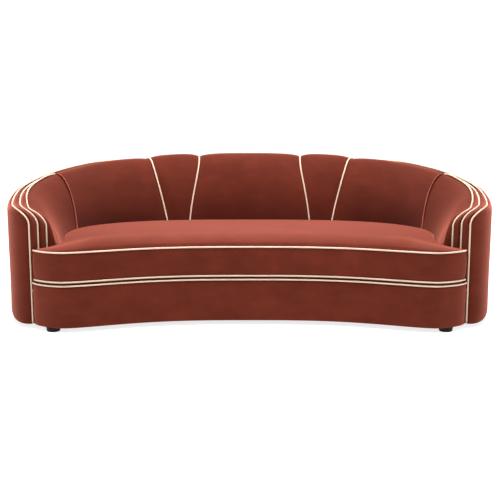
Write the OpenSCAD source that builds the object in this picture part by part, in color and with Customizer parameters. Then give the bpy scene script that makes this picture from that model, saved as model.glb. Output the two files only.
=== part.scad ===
// A three-seat tub sofa: a curved shell whose back sweeps down into layered arms,
// one loose boxed seat cushion with ears in front of the arms, and low round feet.
// Millimetres, +Z up, the front looks to -Y, and the origin is under the middle of the whole.

/* [Overall] */
// width across the outer arms
width = 2520; // [2400:10:2640]
// depth from the foremost piping to the back of the shell
depth = 1047; // [1010:1:1085]
// height of the back's crown at the middle
back_height = 804; // [770:1:840]
// height of the arms along their level stretch
arm_height = 615; // [595:1:635]
// height of the feet, and of the base's bottom edge over the floor
foot_height = 24; // [22:1:50]

/* [Shell plan] */
// how far the rear curve reaches back from the widest line
rear_reach = 655; // [630:1:680]
// roundness of the rear curve, 2 for an ellipse and more for squarer corners
rear_power = 2.6; // [2.3:0.1:3]
// how far the arm fronts stand behind the foremost piping
arm_set_back = 92; // [85:1:100]
// width of the rounded outer face at each arm's front
arm_round = 160; // [140:1:180]
// thickness of the outer cover with its wadding
shell_wall = 20; // [16:1:24]
// distance of the outer seam from the shell's face
seam_inset = 30; // [27:1:34]
// height of the rolled edge under the outer seam
roll_height = 34; // [26:1:40]
// height of the rounded bottom edge
hem_height = 28; // [20:1:34]
// inset of the rounded bottom edge
hem_inset = 12; // [8:1:14]

/* [Arm layers] */
// width of each of the two stepped layers
layer_width = 39; // [36:1:42]
// step back of each layer's front
layer_step = 21.5; // [18:0.5:24]
// depth of the shadow line beside each piping
layer_recess = 12; // [10:0.5:15]
// how far the covered wadding of a layer goes in
layer_depth = 40; // [36:1:46]
// share of the layers' width that is left where they run out at the back
layer_run_out = 0.1; // [0.08:0.01:0.2]
// how much lower the innermost layer lies at the front
inner_layer_drop = 18; // [10:1:22]
// how much higher the innermost layer lies at the rear
inner_layer_lift = 3; // [0:0.5:6]
// how much lower the middle layer lies
middle_layer_drop = 4.5; // [2:0.5:8]
// height of the rounded shoulder at each arm's front
shoulder_height = 80; // [70:1:95]
// roundness of the shoulder
shoulder_power = 2.5; // [2:0.1:3]

/* [Seat space] */
// thickness of each arm at the seat
arm_thickness = 272; // [262:1:284]
// thickness of the back at the seat
back_thickness = 220; // [212:1:230]
// distance from the widest line of the shell forward to that of the seat space
seat_forward = 135; // [120:1:150]
// roundness of the seat space's rear corners
seat_power = 2.8; // [2.5:0.1:3.1]
// height at which the inner pads start to lean out
pad_foot = 400; // [380:1:410]
// roundness of the inner arm's section
arm_pad_power = 2; // [1.8:0.1:2.4]
// share of the inner arm's flare that is an even lean
arm_pad_lean = 0.3; // [0.2:0.05:0.4]
// depth of the soft edge where the inner arm meets its layers
pad_recess = 10; // [8:0.5:12]
// roundness of the inner pads' front corners, higher is squarer
pad_front_power = 3; // [2:0.1:4]

/* [Back panels] */
// distance of the crown from the shell's rear face
crown_inset = 62; // [56:1:70]
// roundness of the back's section
back_power = 2.6; // [2.2:0.1:3]
// share of the back's slope that is an even lean
back_lean = 0.6; // [0.5:0.05:0.7]
// how far the panels swell between their seams
panel_swell = 14; // [8:1:18]
// how far the crown dips at each seam
crown_dip = 15; // [10:1:20]
// how far the rear seam lies below the crown
rear_drop = 24; // [20:1:30]
// angle of the inner seams along the seat, from the middle of the back
seam_low_1 = 13; // [11:0.5:15]
// angle of the outer seams along the seat
seam_low_2 = 20.5; // [18:0.5:23]
// angle of the corner seams along the seat
seam_low_3 = 68; // [66:0.5:70]
// angle of the inner seams along the crown
seam_top_1 = 8.9; // [7.9:0.1:10]
// angle of the outer seams along the crown
seam_top_2 = 22.9; // [21.9:0.1:24]
// angle of the corner seams along the crown
seam_top_3 = 60; // [59:0.5:61]
// how late the inner seams turn in as they rise, 1 for evenly
inner_seam_bend = 1.9; // [1:0.1:2.4]

/* [Base] */
// height of the piping along the base's front
deck_seam = 241; // [232:1:246]
// height of the deck under the cushion
deck_top = 252; // [249:1:254]
// hollow of the front curve at the middle
front_hollow = 158; // [140:1:176]
// roundness of the hollow's floor
hollow_power = 2.9; // [2.6:0.1:3.2]
// roundness of the hollow's run to the front
hollow_run = 1.6; // [1.4:0.1:1.8]
// width of each rounded front corner
corner_width = 168; // [160:1:175]
// depth of each rounded front corner
corner_depth = 100; // [90:1:106]
// roundness of the front corners
corner_power = 1.6; // [1.5:0.1:1.9]
// thickness of the rails
rail_wall = 30; // [24:1:36]
// thickness of the plywood board on the rails
board_wall = 18; // [15:1:21]
// height of the board's top
board_top = 206; // [200:1:212]
// width of the board's margin that carries the webbing
board_margin = 70; // [60:1:80]
// width of a webbing strap
strap_width = 70; // [60:1:80]
// thickness of a webbing strap
strap_wall = 2; // [1.5:0.1:2.5]

/* [Cushion] */
// height of the cushion's lower piping
cushion_low = 261; // [259:1:264]
// height of the cushion's upper piping
cushion_high = 411; // [396:1:420]
// rise of the crown over the upper piping
cushion_crown = 26; // [18:1:32]
// swell of the boxed sides between the two pipings
cushion_swell = 4; // [2:0.5:5]
// gap between the cushion and the pads
cushion_gap = 8; // [8:0.5:12]
// how far the cushion can be lifted
cushion_lift = 600; // [600:1:601]

/* [Piping] */
// radius of the cream piping
piping_r = 5; // [4:0.5:5.5]
// radius of the thin piping in the corner seams
thin_piping_r = 3; // [2.5:0.5:3.5]
// sides of the piping
piping_sides = 8; // [6:1:8]

/* [Feet] */
// radius of a foot
foot_r = 37; // [32:1:40]
// distance of the front feet from the sides
front_foot_side = 270; // [262:1:300]
// distance of the front feet behind the foremost piping
front_foot_y = 59; // [56:1:64]
// distance of the rear feet from the sides
rear_foot_side = 430; // [415:1:460]
// distance of the rear feet from the back of the shell
rear_foot_y = 250; // [235:1:275]
// radius of a foot's stud
stud_r = 5; // [4:0.5:6]

/* [Hidden] */
half = width / 2;
rear = depth / 2;
front = -depth / 2;
arm_y = rear - rear_reach;
front_reach = arm_y - front - arm_set_back;
front_x = half - arm_round;
seat_half = half - arm_thickness;
seat_y = arm_y - seat_forward;
seat_reach = rear - back_thickness - seat_y;
inner_front_x = front_x - 2 * layer_width;
inner_front_y = front + arm_set_back + 2 * layer_step + pad_recess;
seat_front_reach = seat_y - inner_front_y;
pad_ease = 3;
tuck_share = 0.6;
pad_depth = inner_front_x + layer_width * (1 - tuck_share) - 2 - seat_half;
panel_depth = 34;
// angle up to which the rim falls from the crown to the level arm
fall_angle = 125;
// angles between which the layers widen from the back to the arm
widen_from = 36;
widen_to = 124;
// angles between which the innermost layer changes from lifted to dropped
tilt_from = 70;
tilt_to = 130;
// steps of the shoulder, of the arm behind it and of the three back panels
shoulder_steps = 8;
arm_steps = [5, 4];
panel_steps = [4, 4, 10];
seam_low = [0, seam_low_1, seam_low_2, seam_low_3];
seam_top = [0, seam_top_1, seam_top_2, seam_top_3];
seam_bend = [inner_seam_bend, inner_seam_bend, 1, 1];
// a gap that parts soft faces on different bodies
soft_gap = 0.3;
// how far the base's cover stands behind the front curve
skin_gap = 2;
hollow_half = front_x - corner_width - skin_gap;
// angle that parts the pads at each corner seam, under its piping
seam_gap = 0.15;
// running clearance round the studs and nuts
slack = 0.2;
cloth = 2;
velvet = [0.50, 0.22, 0.17];
velvet_lit = [0.58, 0.28, 0.23];
cream = [0.96, 0.87, 0.78];
birch = [0.80, 0.66, 0.46];
foam = [0.93, 0.90, 0.78];
black = [0.08, 0.07, 0.07];
steel = [0.62, 0.63, 0.65];

function mix(a, b, t) = a + (b - a) * t;
function clip(t) = max(0, min(1, t));
function ease(t) = let(c = clip(t)) c * c * (3 - 2 * c);
// the power form that keeps a squared-off curve between an ellipse and a box
function square_sin(a, n) = pow(abs(sin(a)), 2 / n);
function square_cos(a, n) = pow(abs(cos(a)), 2 / n);

// A plan curve is [half width, middle y, rear reach, roundness, front x, front reach],
// with the roundness of its front end last where that isn't a plain ellipse.
// Angle 0 is the middle of the back, 90 the widest point and 180 the arm's front.
function plan(c, a) =
  let(b = abs(a), side = sign(a), n = len(c) > 6 ? c[6] : 2)
  b < 90
    ? [side * c[0] * square_sin(b, c[3]), c[1] + c[2] * square_cos(b, c[3])]
    : [side * (c[4] + (c[0] - c[4]) * square_cos(b - 90, n)), c[1] - c[5] * square_sin(b - 90, n)];
function shell_curve(inset, front_cut = 0) =
  [half - inset, arm_y, rear_reach - inset, rear_power, front_x + piping_r + slack, front_reach - front_cut];
function seat_curve(out, front_out = 0, tip = inner_front_x - pad_ease) =
  [seat_half + out, seat_y, seat_reach + out, seat_power, tip, seat_front_reach - front_out, pad_front_power];

// Height of the rim by angle: the crown falls to the level arm, then over the shoulder.
function shoulder_part(a) = clip((abs(a) - fall_angle) / (180 - fall_angle));
function dome(a) = sqrt(max(0, 1 - pow(shoulder_part(a), shoulder_power)));
function fall(a) = pow(cos(90 * clip(abs(a) / fall_angle)), 2);
function rim(a) =
  arm_height + (back_height - arm_height) * fall(a) - shoulder_height * (1 - dome(a));
function rear_fall(a) = rear_drop * (1 - ease((abs(a) - seam_top[3] / 2) / (seam_top[3] / 2)));

// Edge k of the layers, 1 for the outer seam to 3 for the innermost, taken in by depth t.
function widen(a) = mix(layer_run_out, 1, ease((abs(a) - widen_from) / (widen_to - widen_from)));
function layer_drop(k, a) =
  k == 1 ? rear_fall(a)
  : k == 2 ? middle_layer_drop
  : mix(-inner_layer_lift, inner_layer_drop, ease((abs(a) - tilt_from) / (tilt_to - tilt_from)));
function edge_curve(k, t) =
  let(s = seam_inset + (k - 1) * layer_width, step = (k - 1) * layer_step)
  [half - s, arm_y, rear_reach - s, rear_power, front_x - (k - 1) * layer_width,
   front_reach - step - t];
function edge(k, a, t = 0) =
  let(
    outer = plan(edge_curve(1, t), a),
    own = plan(edge_curve(k, t), a),
    p = mix(outer, own, widen(a)))
  [p[0], p[1], rim(a) - layer_drop(k, a) - t * dome(a)];

// Stations along the arm from its front to the corner seam, and along the back.
arm_angles = concat(
  [
    for (i = [0 : shoulder_steps])
      fall_angle + (180 - fall_angle) * pow(cos(90 * i / shoulder_steps), 2 / shoulder_power)],
  [for (i = [1 : arm_steps[0]]) mix(fall_angle, 90, i / arm_steps[0])],
  [for (i = [1 : arm_steps[1]]) mix(90, seam_top[3], i / arm_steps[1])]);
function reversed(list) = [for (i = [len(list) - 1 : -1 : 0]) list[i]];
function seam_steps(k) = [for (i = [1 : panel_steps[k]]) mix(seam_top[k], seam_top[k + 1], i / panel_steps[k])];
half_angles = concat(seam_steps(0), seam_steps(1), seam_steps(2));
back_angles = concat(-reversed(half_angles), [0], half_angles);

function at(p, z) = [p[0], p[1], z];

// Closes a solid between a grid of shown points and the matching grid behind it.
module slab(shown, hidden) {
  m = len(shown);
  n = len(shown[0]);
  points = concat([for (row = shown) each row], [for (row = hidden) each row]);
  function id(side, i, j) = side * m * n + i * n + j;
  function quad(a, b, c, d) = [[a, b, c], [a, c, d]];
  sheets = [
    for (i = [0 : m - 2]) for (j = [0 : n - 2]) each concat(
      quad(id(0, i, j), id(0, i + 1, j), id(0, i + 1, j + 1), id(0, i, j + 1)),
      quad(id(1, i, j), id(1, i, j + 1), id(1, i + 1, j + 1), id(1, i + 1, j)))];
  sides = [
    for (i = [0 : m - 2]) each concat(
      quad(id(0, i, 0), id(1, i, 0), id(1, i + 1, 0), id(0, i + 1, 0)),
      quad(id(0, i, n - 1), id(0, i + 1, n - 1), id(1, i + 1, n - 1), id(1, i, n - 1)))];
  ends = [
    for (j = [0 : n - 2]) each concat(
      quad(id(0, 0, j + 1), id(1, 0, j + 1), id(1, 0, j), id(0, 0, j)),
      quad(id(1, m - 1, j), id(1, m - 1, j + 1), id(0, m - 1, j + 1), id(0, m - 1, j)))];
  polyhedron(points = points, faces = concat(sheets, sides, ends));
}

// Sweeps a round tube along a line of points, upright rings all facing along the line.
function unit(v) = v / norm(v);
function along(path, i, closed) =
  let(
    n = len(path),
    a = closed ? path[(i + n - 1) % n] : path[max(0, i - 1)],
    b = closed ? path[(i + 1) % n] : path[min(n - 1, i + 1)])
  unit(b - a);
module tube(path, r, closed = false, lean = [0, 0, 1]) {
  n = len(path);
  rings = [
    for (i = [0 : n - 1])
      let(
        t = along(path, i, closed),
        u = unit(cross(t, lean)),
        v = cross(u, t))
      for (k = [0 : piping_sides - 1])
        let(q = 360 * k / piping_sides)
        path[i] + r * cos(q) * u + r * sin(q) * v];
  last = closed ? n - 1 : n - 2;
  skin = [
    for (i = [0 : last]) for (k = [0 : piping_sides - 1])
      let(
        next = ((i + 1) % n) * piping_sides,
        here = i * piping_sides,
        turn = (k + 1) % piping_sides)
      each [[here + k, here + turn, next + turn], [here + k, next + turn, next + k]]];
  caps = closed ? [] : [
    [for (k = [piping_sides - 1 : -1 : 0]) k],
    [for (k = [0 : piping_sides - 1]) (n - 1) * piping_sides + k]];
  polyhedron(points = rings, faces = concat(skin, caps));
}

module left_and_right(side) {
  if (side < 0) mirror([1, 0, 0]) children();
  else children();
}

// Outer cover: a wall with a rounded hem, rolled over to the outer seam.
// slant beside a piping, wide enough that the piping lies free on it round the shoulder
chamfer = piping_r + 4;
function shell_shown(a) =
  let(top = edge(1, a)[2])
  [
    at(plan(shell_curve(hem_inset), a), foot_height),
    at(plan(shell_curve(hem_inset * 0.3), a), foot_height + hem_height * 0.3),
    at(plan(shell_curve(0), a), foot_height + hem_height),
    at(plan(shell_curve(0), a), top - roll_height),
    at(plan(shell_curve(seam_inset * 0.12), a), top - roll_height * 0.45),
    at(plan(shell_curve(seam_inset * 0.4), a), top - roll_height * 0.12),
    at(plan(shell_curve(seam_inset - chamfer), a), top),
    edge(1, a, chamfer)];
function shell_hidden(a) =
  let(
    seat = edge(1, a, layer_depth),
    wall = plan(shell_curve(shell_wall, shell_wall), a),
    top = seat[2] - shell_wall * 0.6)
  [
    at(wall, foot_height),
    at(wall, foot_height + hem_height * 0.3),
    at(wall, foot_height + hem_height),
    at(wall, top),
    mix(at(wall, top), seat, 0.25),
    mix(at(wall, top), seat, 0.5),
    mix(at(wall, top), seat, 0.75),
    seat];
module outer_arm(side) {
  left_and_right(side)
    slab([for (a = reversed(arm_angles)) shell_shown(a)], [for (a = reversed(arm_angles)) shell_hidden(a)]);
}
module outer_back() {
  slab(
    [for (a = back_angles) shell_shown(a)],
    [for (a = back_angles) shell_hidden(a)]);
}

// A layer runs up the arm's front as a strip, over the shoulder and back along the arm.
// Its stations start with one at the board, below the first station of the rim.
layer_share = [0.03, 0.17, 0.5, 1];
layer_in = [layer_recess, layer_recess / 3, -1, 0];
layer_sunk = [layer_recess, layer_recess * 0.7, chamfer * 0.8, chamfer * 0.8];
function strip_point(k, i, u, t) =
  let(
    a = arm_angles[max(0, i)],
    p = mix(edge(k - 1, a, t), edge(k, a, t), u))
  i < 0 ? at(p, board_top) : p;
function strip_row(k, i, hidden) =
  let(
    a = arm_angles[max(0, i)],
    wide = layer_width * widen(a),
    full = 1 - chamfer / wide,
    sunk = clip((layer_width - wide) / (layer_width - 2 * chamfer)))
  [
    for (j = [0 : 3])
      strip_point(k, i, layer_share[j] * full, hidden ? layer_depth : mix(layer_in[j], layer_sunk[j], sunk)),
    strip_point(k, i, 1, hidden ? layer_depth : chamfer)];
module arm_layer(k, side) {
  stations = [len(arm_angles) - 1 : -1 : -1];
  left_and_right(side)
    slab(
      [for (i = stations) strip_row(k, i, false)],
      [for (i = stations) strip_row(k, i, true)]);
}

// Bent plywood that carries both layers, and the posts that carry it.
frame_top = layer_depth + 0.9;
frame_depth = frame_top + 22;
frame_share = 0.25;
function frame_row(i, t) = [
  strip_point(2, i, 0, t),
  strip_point(2, i, 1, t),
  strip_point(3, i, frame_share, t)];
module arm_frame(side) {
  stations = [len(arm_angles) - 1 : -1 : -1];
  left_and_right(side)
    slab([for (i = stations) frame_row(i, frame_top)], [for (i = stations) frame_row(i, frame_depth)]);
}
module arm_posts(side) {
  first = [shoulder_steps + 1, len(arm_angles) - 3];
  left_and_right(side)
    for (f = first)
      slab(
        [for (i = [f + 1, f]) [for (j = [1 : 2]) frame_row(i, frame_depth)[j]]],
        [for (i = [f + 1, f]) [for (j = [1 : 2]) at(frame_row(i, frame_depth)[j], board_top)]]);
}

// Inner pads: upright behind the cushion, then out and over to the rim.
pad_steps = 7;
function bow(q, power, lean) =
  let(h = square_sin(q, power), out = 1 - square_cos(q, power))
  [mix(out, h, lean), h];
// share of the way from the level arm to the corner seam, and to the arm's front
upright_power = 3.4;
upright_run = 25;
function seam_share(i) = clip((fall_angle - arm_angles[i]) / (fall_angle - seam_top[3]));
function front_share(i) = ease((arm_angles[i] - fall_angle) / upright_run);
function arm_pad_angle(i, h) = arm_angles[i] + (seam_low[3] - seam_top[3]) * (1 - h) * seam_share(i);
function arm_bow(i, q) =
  let(near = seam_share(i), far = front_share(i))
  bow(
    q,
    mix(mix(arm_pad_power, back_power, near), upright_power, far),
    mix(mix(arm_pad_lean, back_lean, near), 0, far));
// one upright line of the pad, from the board to a top point on the innermost layer
function arm_pad_column(i, curve, top, span = 90) = [
  at(plan(curve, arm_pad_angle(i, 0)), board_top),
  for (j = [0 : pad_steps])
    let(b = arm_bow(i, span * j / pad_steps), p = mix(plan(curve, arm_pad_angle(i, b[1])), [top[0], top[1]], b[0]))
    at(p, mix(pad_foot, top[2], b[1]))];
// the pad's edge is tucked under the innermost layer, a little clear of its side
pad_share = 1.07;
tuck = 6;
tuck_depth = layer_depth + 1;
function tucked(i, share) = strip_point(3, i, share, tuck_depth) - [0, 0, tuck * (1 - dome(arm_angles[i]))];
function pad_shown(i) =
  concat(arm_pad_column(i, seat_curve(0), strip_point(3, i, pad_share, pad_recess)), [tucked(i, pad_share)]);
hollow_front = layer_depth - pad_recess + 4;
hidden_span = 80;
function pad_hidden(i) =
  let(
    near = seam_share(i),
    out = mix(pad_depth, panel_depth, near),
    top = tucked(i, mix(tuck_share, 0.8, near)))
  concat(
    arm_pad_column(i, seat_curve(out, hollow_front, seat_half + out), top - [0, 0, 2 * tuck], hidden_span),
    [top]);
// the pad's front end turns in behind the innermost layer
turn_y = inner_front_y - pad_recess + tuck_depth + slack;
function turned(column, x) =
  let(last = len(column) - 1)
  [for (j = [0 : last]) [x, turn_y, mix(board_top, column[j][2], j == last ? 0.99 : 0.96)]];
module inner_arm(side) {
  stations = [0 : len(arm_angles) - 1];
  left_and_right(side)
    slab(
      concat([turned(pad_shown(0), inner_front_x)], [for (i = stations) pad_shown(i)]),
      concat([turned(pad_hidden(0), seat_half + pad_depth)], [for (i = stations) pad_hidden(i)]));
}

// Back panel k between two seams: swollen, with a dip in the crown at each seam.
crown_steps = 8;
rail_drop = 62;
function swell(u, edges) = edges == 1 ? sqrt(clip(1 - pow(u, 3))) : sqrt(clip(1 - pow(abs(2 * u - 1), 3)));
function panel_angle(k, u, h) =
  mix(
    mix(seam_low[k], seam_low[k + 1] - (k == 2 ? seam_gap : 0), u),
    mix(seam_top[k], seam_top[k + 1], u),
    pow(h, mix(seam_bend[k], seam_bend[k + 1], u)));
function crown(a, s) = rim(a) - crown_dip * (1 - s);
function panel_shown(k, u, s) =
  let(
    top_a = panel_angle(k, u, 1),
    top = plan(shell_curve(crown_inset), top_a),
    last = edge(1, top_a, chamfer + 1.5),
    crest = crown(top_a, s))
  concat(
    [at(plan(seat_curve(0), panel_angle(k, u, 0)), board_top)],
    [
      for (j = [0 : crown_steps])
        let(
          q = 90 * j / crown_steps,
          b = bow(q, back_power, back_lean),
          low = plan(seat_curve(0), panel_angle(k, u, b[1])),
          puff = panel_swell * s * sin(180 * b[1]) / norm(top - low),
          p = mix(low, top, b[0] - puff))
        at(p, mix(pad_foot, crest, b[1]))],
    [at(mix(top, [last[0], last[1]], 0.45), mix(crest, last[2], 0.25)), last]);
function panel_hidden(k, u, s) =
  let(
    top_a = panel_angle(k, u, 1),
    top = plan(shell_curve(crown_inset + 8), top_a),
    last = edge(1, top_a, layer_depth))
  concat(
    [at(plan(seat_curve(panel_depth), panel_angle(k, u, 0)), board_top)],
    [
      for (j = [0 : crown_steps])
        let(
          q = 90 * j / crown_steps,
          b = bow(q, back_power, back_lean),
          low = plan(seat_curve(panel_depth), panel_angle(k, u, b[1])),
          p = mix(low, top, b[0]))
        at(p, mix(pad_foot, rim(top_a) - rail_drop, b[1]))],
    [mix(at(top, rim(top_a) - rail_drop), last, 0.5), last]);
module back_panel(k, side) {
  steps = panel_steps[k];
  middle = k == 0;
  first = middle ? -steps : 0;
  left_and_right(side)
    slab(
      [for (i = [steps : -1 : first]) mirror_row(panel_shown(k, abs(i) / steps, swell(abs(i) / steps, middle ? 1 : 2)), i)],
      [for (i = [steps : -1 : first]) mirror_row(panel_hidden(k, abs(i) / steps, 1), i)]);
}
function mirror_row(row, i) = i < 0 ? [for (p = row) [-p[0], p[1], p[2]]] : row;

// Rail under the crown, and the posts that carry it.
rail_deep = 45;
function rail_row(a, down) =
  let(
    inner = plan(shell_curve(crown_inset + 8), a),
    outer = edge(1, a, layer_depth))
  [
    at(inner, rim(a) - rail_drop - down),
    mix(at(inner, rim(a) - rail_drop), outer, 0.5) - [0, 0, down],
    outer - [0, 0, down]];
module back_top_rail() {
  stations = reversed(concat([0], half_angles));
  for (side = [-1, 1]) left_and_right(side)
    slab([for (a = stations) rail_row(a, 0)], [for (a = stations) rail_row(a, rail_deep)]);
}
module back_posts() {
  for (side = [-1, 1]) left_and_right(side)
    for (i = [2, 8, 15])
      slab(
        [for (a = [half_angles[i + 1], half_angles[i]]) rail_row(a, rail_deep)],
        [for (a = [half_angles[i + 1], half_angles[i]]) [for (p = rail_row(a, rail_deep)) at(p, board_top)]]);
}

// The front curve: hollow at the middle, full towards the arms, with rounded corners.
function front_y(x) =
  front + piping_r + front_hollow * pow(clip(1 - pow(abs(x) / hollow_half, hollow_power)), hollow_run);
function corner_point(q) = [
  hollow_half + corner_width * square_cos(q, corner_power),
  front + piping_r + corner_depth * (1 - square_sin(q, corner_power))];
front_steps = 12;
corner_steps = 6;
corner_from = 14;
function half_front(from) = concat(
  [for (i = [0 : corner_steps - 1]) corner_point(mix(from, 90, i / corner_steps))],
  [for (i = [0 : front_steps - 1]) let(x = hollow_half * (1 - i / front_steps)) [x, front_y(x)]]);
function flip_x(p) = [-p[0], p[1]];
function whole_front(from) = concat(
  half_front(from), [[0, front_y(0)]], [for (p = reversed(half_front(from))) flip_x(p)]);
// moves each point of a flat line by d to the left of its run
function shifted(line, d, closed = false) =
  [
    for (i = [0 : len(line) - 1])
      let(t = along(line, i, closed))
      line[i] + d * [-t[1], t[0]]];
function lifted(line, z) = [for (p = line) at(p, z)];

module band(line, from, to, low, high) {
  translate([0, 0, low])
    linear_extrude(height = high - low)
      polygon(concat(shifted(line, -from), reversed(shifted(line, -to))));
}
rail_set = skin_gap + shell_wall + soft_gap;
rail_low = foot_height + cloth;
rail_high = board_top - board_wall;
module front_border() {
  band(whole_front(corner_from), skin_gap, skin_gap + shell_wall, foot_height, deck_seam - piping_r);
}
rail_front = shifted(whole_front(corner_from), -rail_set);
rail_back = shifted(whole_front(corner_from), -rail_set - rail_wall);
// leaves out the rounded corners at both ends of a line along the front
function between_corners(line) = [for (i = [corner_steps : len(line) - 1 - corner_steps]) line[i]];
module front_rail() {
  translate([0, 0, rail_low])
    linear_extrude(height = rail_high - rail_low)
      polygon(concat(between_corners(rail_front), reversed(between_corners(rail_back))));
}

// Plywood board: the whole outline less an opening under the seat for the webbing.
wall_curve = shell_curve(shell_wall, shell_wall);
block_margin = 50;
foot_back = front + front_foot_y + foot_r + block_margin;
function side_line(inset, from, to) =
  let(c = shell_curve(shell_wall + inset, shell_wall + inset))
  [for (a = concat(arm_angles, reversed([for (b = half_angles) if (b < seam_top[3]) b]), [0]))
    if (a <= from && a >= to) plan(c, a)];
function ring_line(inset) =
  let(right = side_line(inset, 180, 0))
  concat(right, [for (i = [len(right) - 2 : -1 : 0]) flip_x(right[i])]);
opening_steps = 24;
opening_from = 150;
opening = concat(
  [for (i = [0 : opening_steps]) plan(seat_curve(-board_margin), mix(opening_from, -opening_from, i / opening_steps))],
  [
    for (x = [-0.8 : 0.2 : 0.8])
      let(w = x * seat_half)
      [w, front_y(w) + rail_set + rail_wall + board_margin / 2]]);
module seat_board() {
  translate([0, 0, board_top - board_wall])
    linear_extrude(height = board_wall)
      difference() {
        polygon(concat(ring_line(0), reversed(rail_front)));
        polygon(opening);
      }
}
function rail_outline(from, to) =
  concat(side_line(0, from, to), reversed(side_line(rail_wall, from, to)));
rail_from = 170;
module side_rail(side) {
  left_and_right(side)
    translate([0, 0, rail_low])
      linear_extrude(height = rail_high - rail_low)
        polygon(rail_outline(rail_from, seam_top[3]));
}
module rear_rail() {
  half_line = side_line(0, seam_top[3], 0);
  inner_line = side_line(rail_wall, seam_top[3], 0);
  translate([0, 0, rail_low])
    linear_extrude(height = rail_high - rail_low)
      polygon(concat(
        half_line,
        [for (i = [len(half_line) - 2 : -1 : 0]) flip_x(half_line[i])],
        [for (p = inner_line) flip_x(p)],
        [for (i = [len(inner_line) - 2 : -1 : 0]) inner_line[i]]));
}
cross_rail_x = [-4 / 9 * seat_half, 0, 4 / 9 * seat_half];
cross_rail_high = 110;
function rear_face(x, inset) =
  let(c = shell_curve(inset, inset))
  c[1] + c[2] * pow(1 - pow(abs(x) / c[0], c[3]), 1 / c[3]);
// y of a line along the front at x
function line_y(line, x) = [
  for (i = [0 : len(line) - 2])
    let(a = line[i], b = line[i + 1])
    if (a[0] >= x && x > b[0]) mix(a[1], b[1], (x - a[0]) / (b[0] - a[0]))][0];
module cross_rails() {
  for (x = cross_rail_x) {
    outer_x = abs(x) + rail_wall / 2;
    from = max(line_y(rail_back, x - rail_wall / 2), line_y(rail_back, x), line_y(rail_back, x + rail_wall / 2));
    to = rear_face(outer_x, shell_wall + rail_wall) - rail_wall / 8;
    translate([x - rail_wall / 2, from, rail_high - cross_rail_high])
      cube([rail_wall, to - from, cross_rail_high]);
  }
}

// Blocks over the feet, bored for the studs and for the nuts pressed in from above.
nut_r = stud_r + 2.5;
nut_flange_r = nut_r + 5;
nut_height = 14;
flange_wall = 2;
block_high = 70;
stud_high = 68;
stud_bite = 10;
rear_block = 110;
front_foot_x = half - front_foot_side;
rear_foot_x = half - rear_foot_side;
foot_places = [
  [front_foot_x, front + front_foot_y],
  [rear_foot_x, rear - rear_foot_y]];
module at_feet() {
  for (side = [-1, 1]) for (p = foot_places) translate([side * p[0], p[1], 0]) children();
}
module foot_blocks() {
  difference() {
    union() {
      for (side = [-1, 1]) left_and_right(side) {
        line = [for (p = half_front(corner_from)) if (p[0] > hollow_half) p];
        face = shifted(line, -rail_set);
        translate([0, 0, rail_low])
          linear_extrude(height = rail_high - rail_low)
            polygon(concat(face, [[face[len(face) - 1][0], foot_back], [face[0][0], foot_back]]));
        translate([rear_foot_x - rear_block / 2, rear - rear_foot_y - rear_block / 2, rail_low])
          cube([rear_block, rear_block, rail_high - rail_low]);
      }
    }
    at_feet() translate([0, 0, rail_low - 1]) cylinder(h = block_high + 1, r = stud_r + slack, $fn = 32);
    at_feet() translate([0, 0, rail_low + block_high - nut_height - 12])
      cylinder(h = nut_height + slack, r = nut_r + slack, $fn = 32);
    at_feet() translate([0, 0, rail_low + block_high - 12])
      cylinder(h = rail_high - rail_low, r = nut_flange_r + slack, $fn = 32);
  }
}
module tee_nuts() {
  at_feet() translate([0, 0, rail_low + block_high - 12])
    difference() {
      union() {
        translate([0, 0, -nut_height + slack]) cylinder(h = nut_height, r = nut_r, $fn = 32);
        cylinder(h = flange_wall, r = nut_flange_r, $fn = 32);
      }
      translate([0, 0, -nut_height - 1]) cylinder(h = nut_height + flange_wall + 2, r = stud_r + slack, $fn = 32);
    }
}
module foot_studs() {
  at_feet() translate([0, 0, foot_height - stud_bite]) cylinder(h = stud_high, r = stud_r, $fn = 32);
}
// A low turned puck with a soft lower edge and a slight taper.
module foot(place, side) {
  edge_r = 5;
  left_and_right(side)
    translate([foot_places[place][0], foot_places[place][1], 0])
      rotate_extrude($fn = 48)
        polygon(concat(
          [[0, 0]],
          [for (i = [0 : 4]) let(q = 90 * i / 4) [foot_r * 0.92 - edge_r * (1 - sin(q)), edge_r * (1 - cos(q))]],
          [
            [foot_r, foot_height],
            [stud_r + slack, foot_height],
            [stud_r + slack, foot_height - stud_bite - slack],
            [0, foot_height - stud_bite - slack]]));
}

// Woven straps: those across go over and under those that run front to back.
webbing_z = board_top + strap_wall;
strap_gap = seat_half / 5;
// distances of the outer straps from the hollow front and from the back's face
strap_front = 130;
strap_rear = 155;
across_y = [for (i = [0 : 4]) mix(front + front_hollow + strap_front, rear - back_thickness - strap_rear, i / 4)];
length_x = [for (i = [-3 : 3]) i * strap_gap];
function seat_wide(y) =
  let(c = seat_curve(-soft_gap), up = abs(y - c[1]) / c[2])
  y < c[1] ? c[0] : c[0] * pow(clip(1 - pow(up, c[3])), 1 / c[3]);
function seat_rear(x) =
  let(c = seat_curve(-soft_gap))
  c[1] + c[2] * pow(clip(1 - pow(abs(x) / c[0], c[3])), 1 / c[3]);
strap_end = 30;
// the height of a strap's middle at each crossing, up or down by one strap
function weave(n, phase) = [for (i = [0 : n - 1]) webbing_z + (((i + phase) % 2) * 2 - 1) * strap_wall / 2];
module strap(points, z, along_x) {
  w = strap_width / 2;
  rows = [
    for (i = [0 : len(points) - 1])
      let(p = points[i], s = along_x ? [0, w] : [w, 0])
      [[p[0] - s[0], p[1] - s[1], z[i]], [p[0] + s[0], p[1] + s[1], z[i]]]];
  up = [for (r = rows) [for (p = r) p + [0, 0, strap_wall / 2]]];
  down = [for (r = rows) [for (p = r) p - [0, 0, strap_wall / 2]]];
  if (along_x) slab(down, up);
  else slab(up, down);
}
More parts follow.
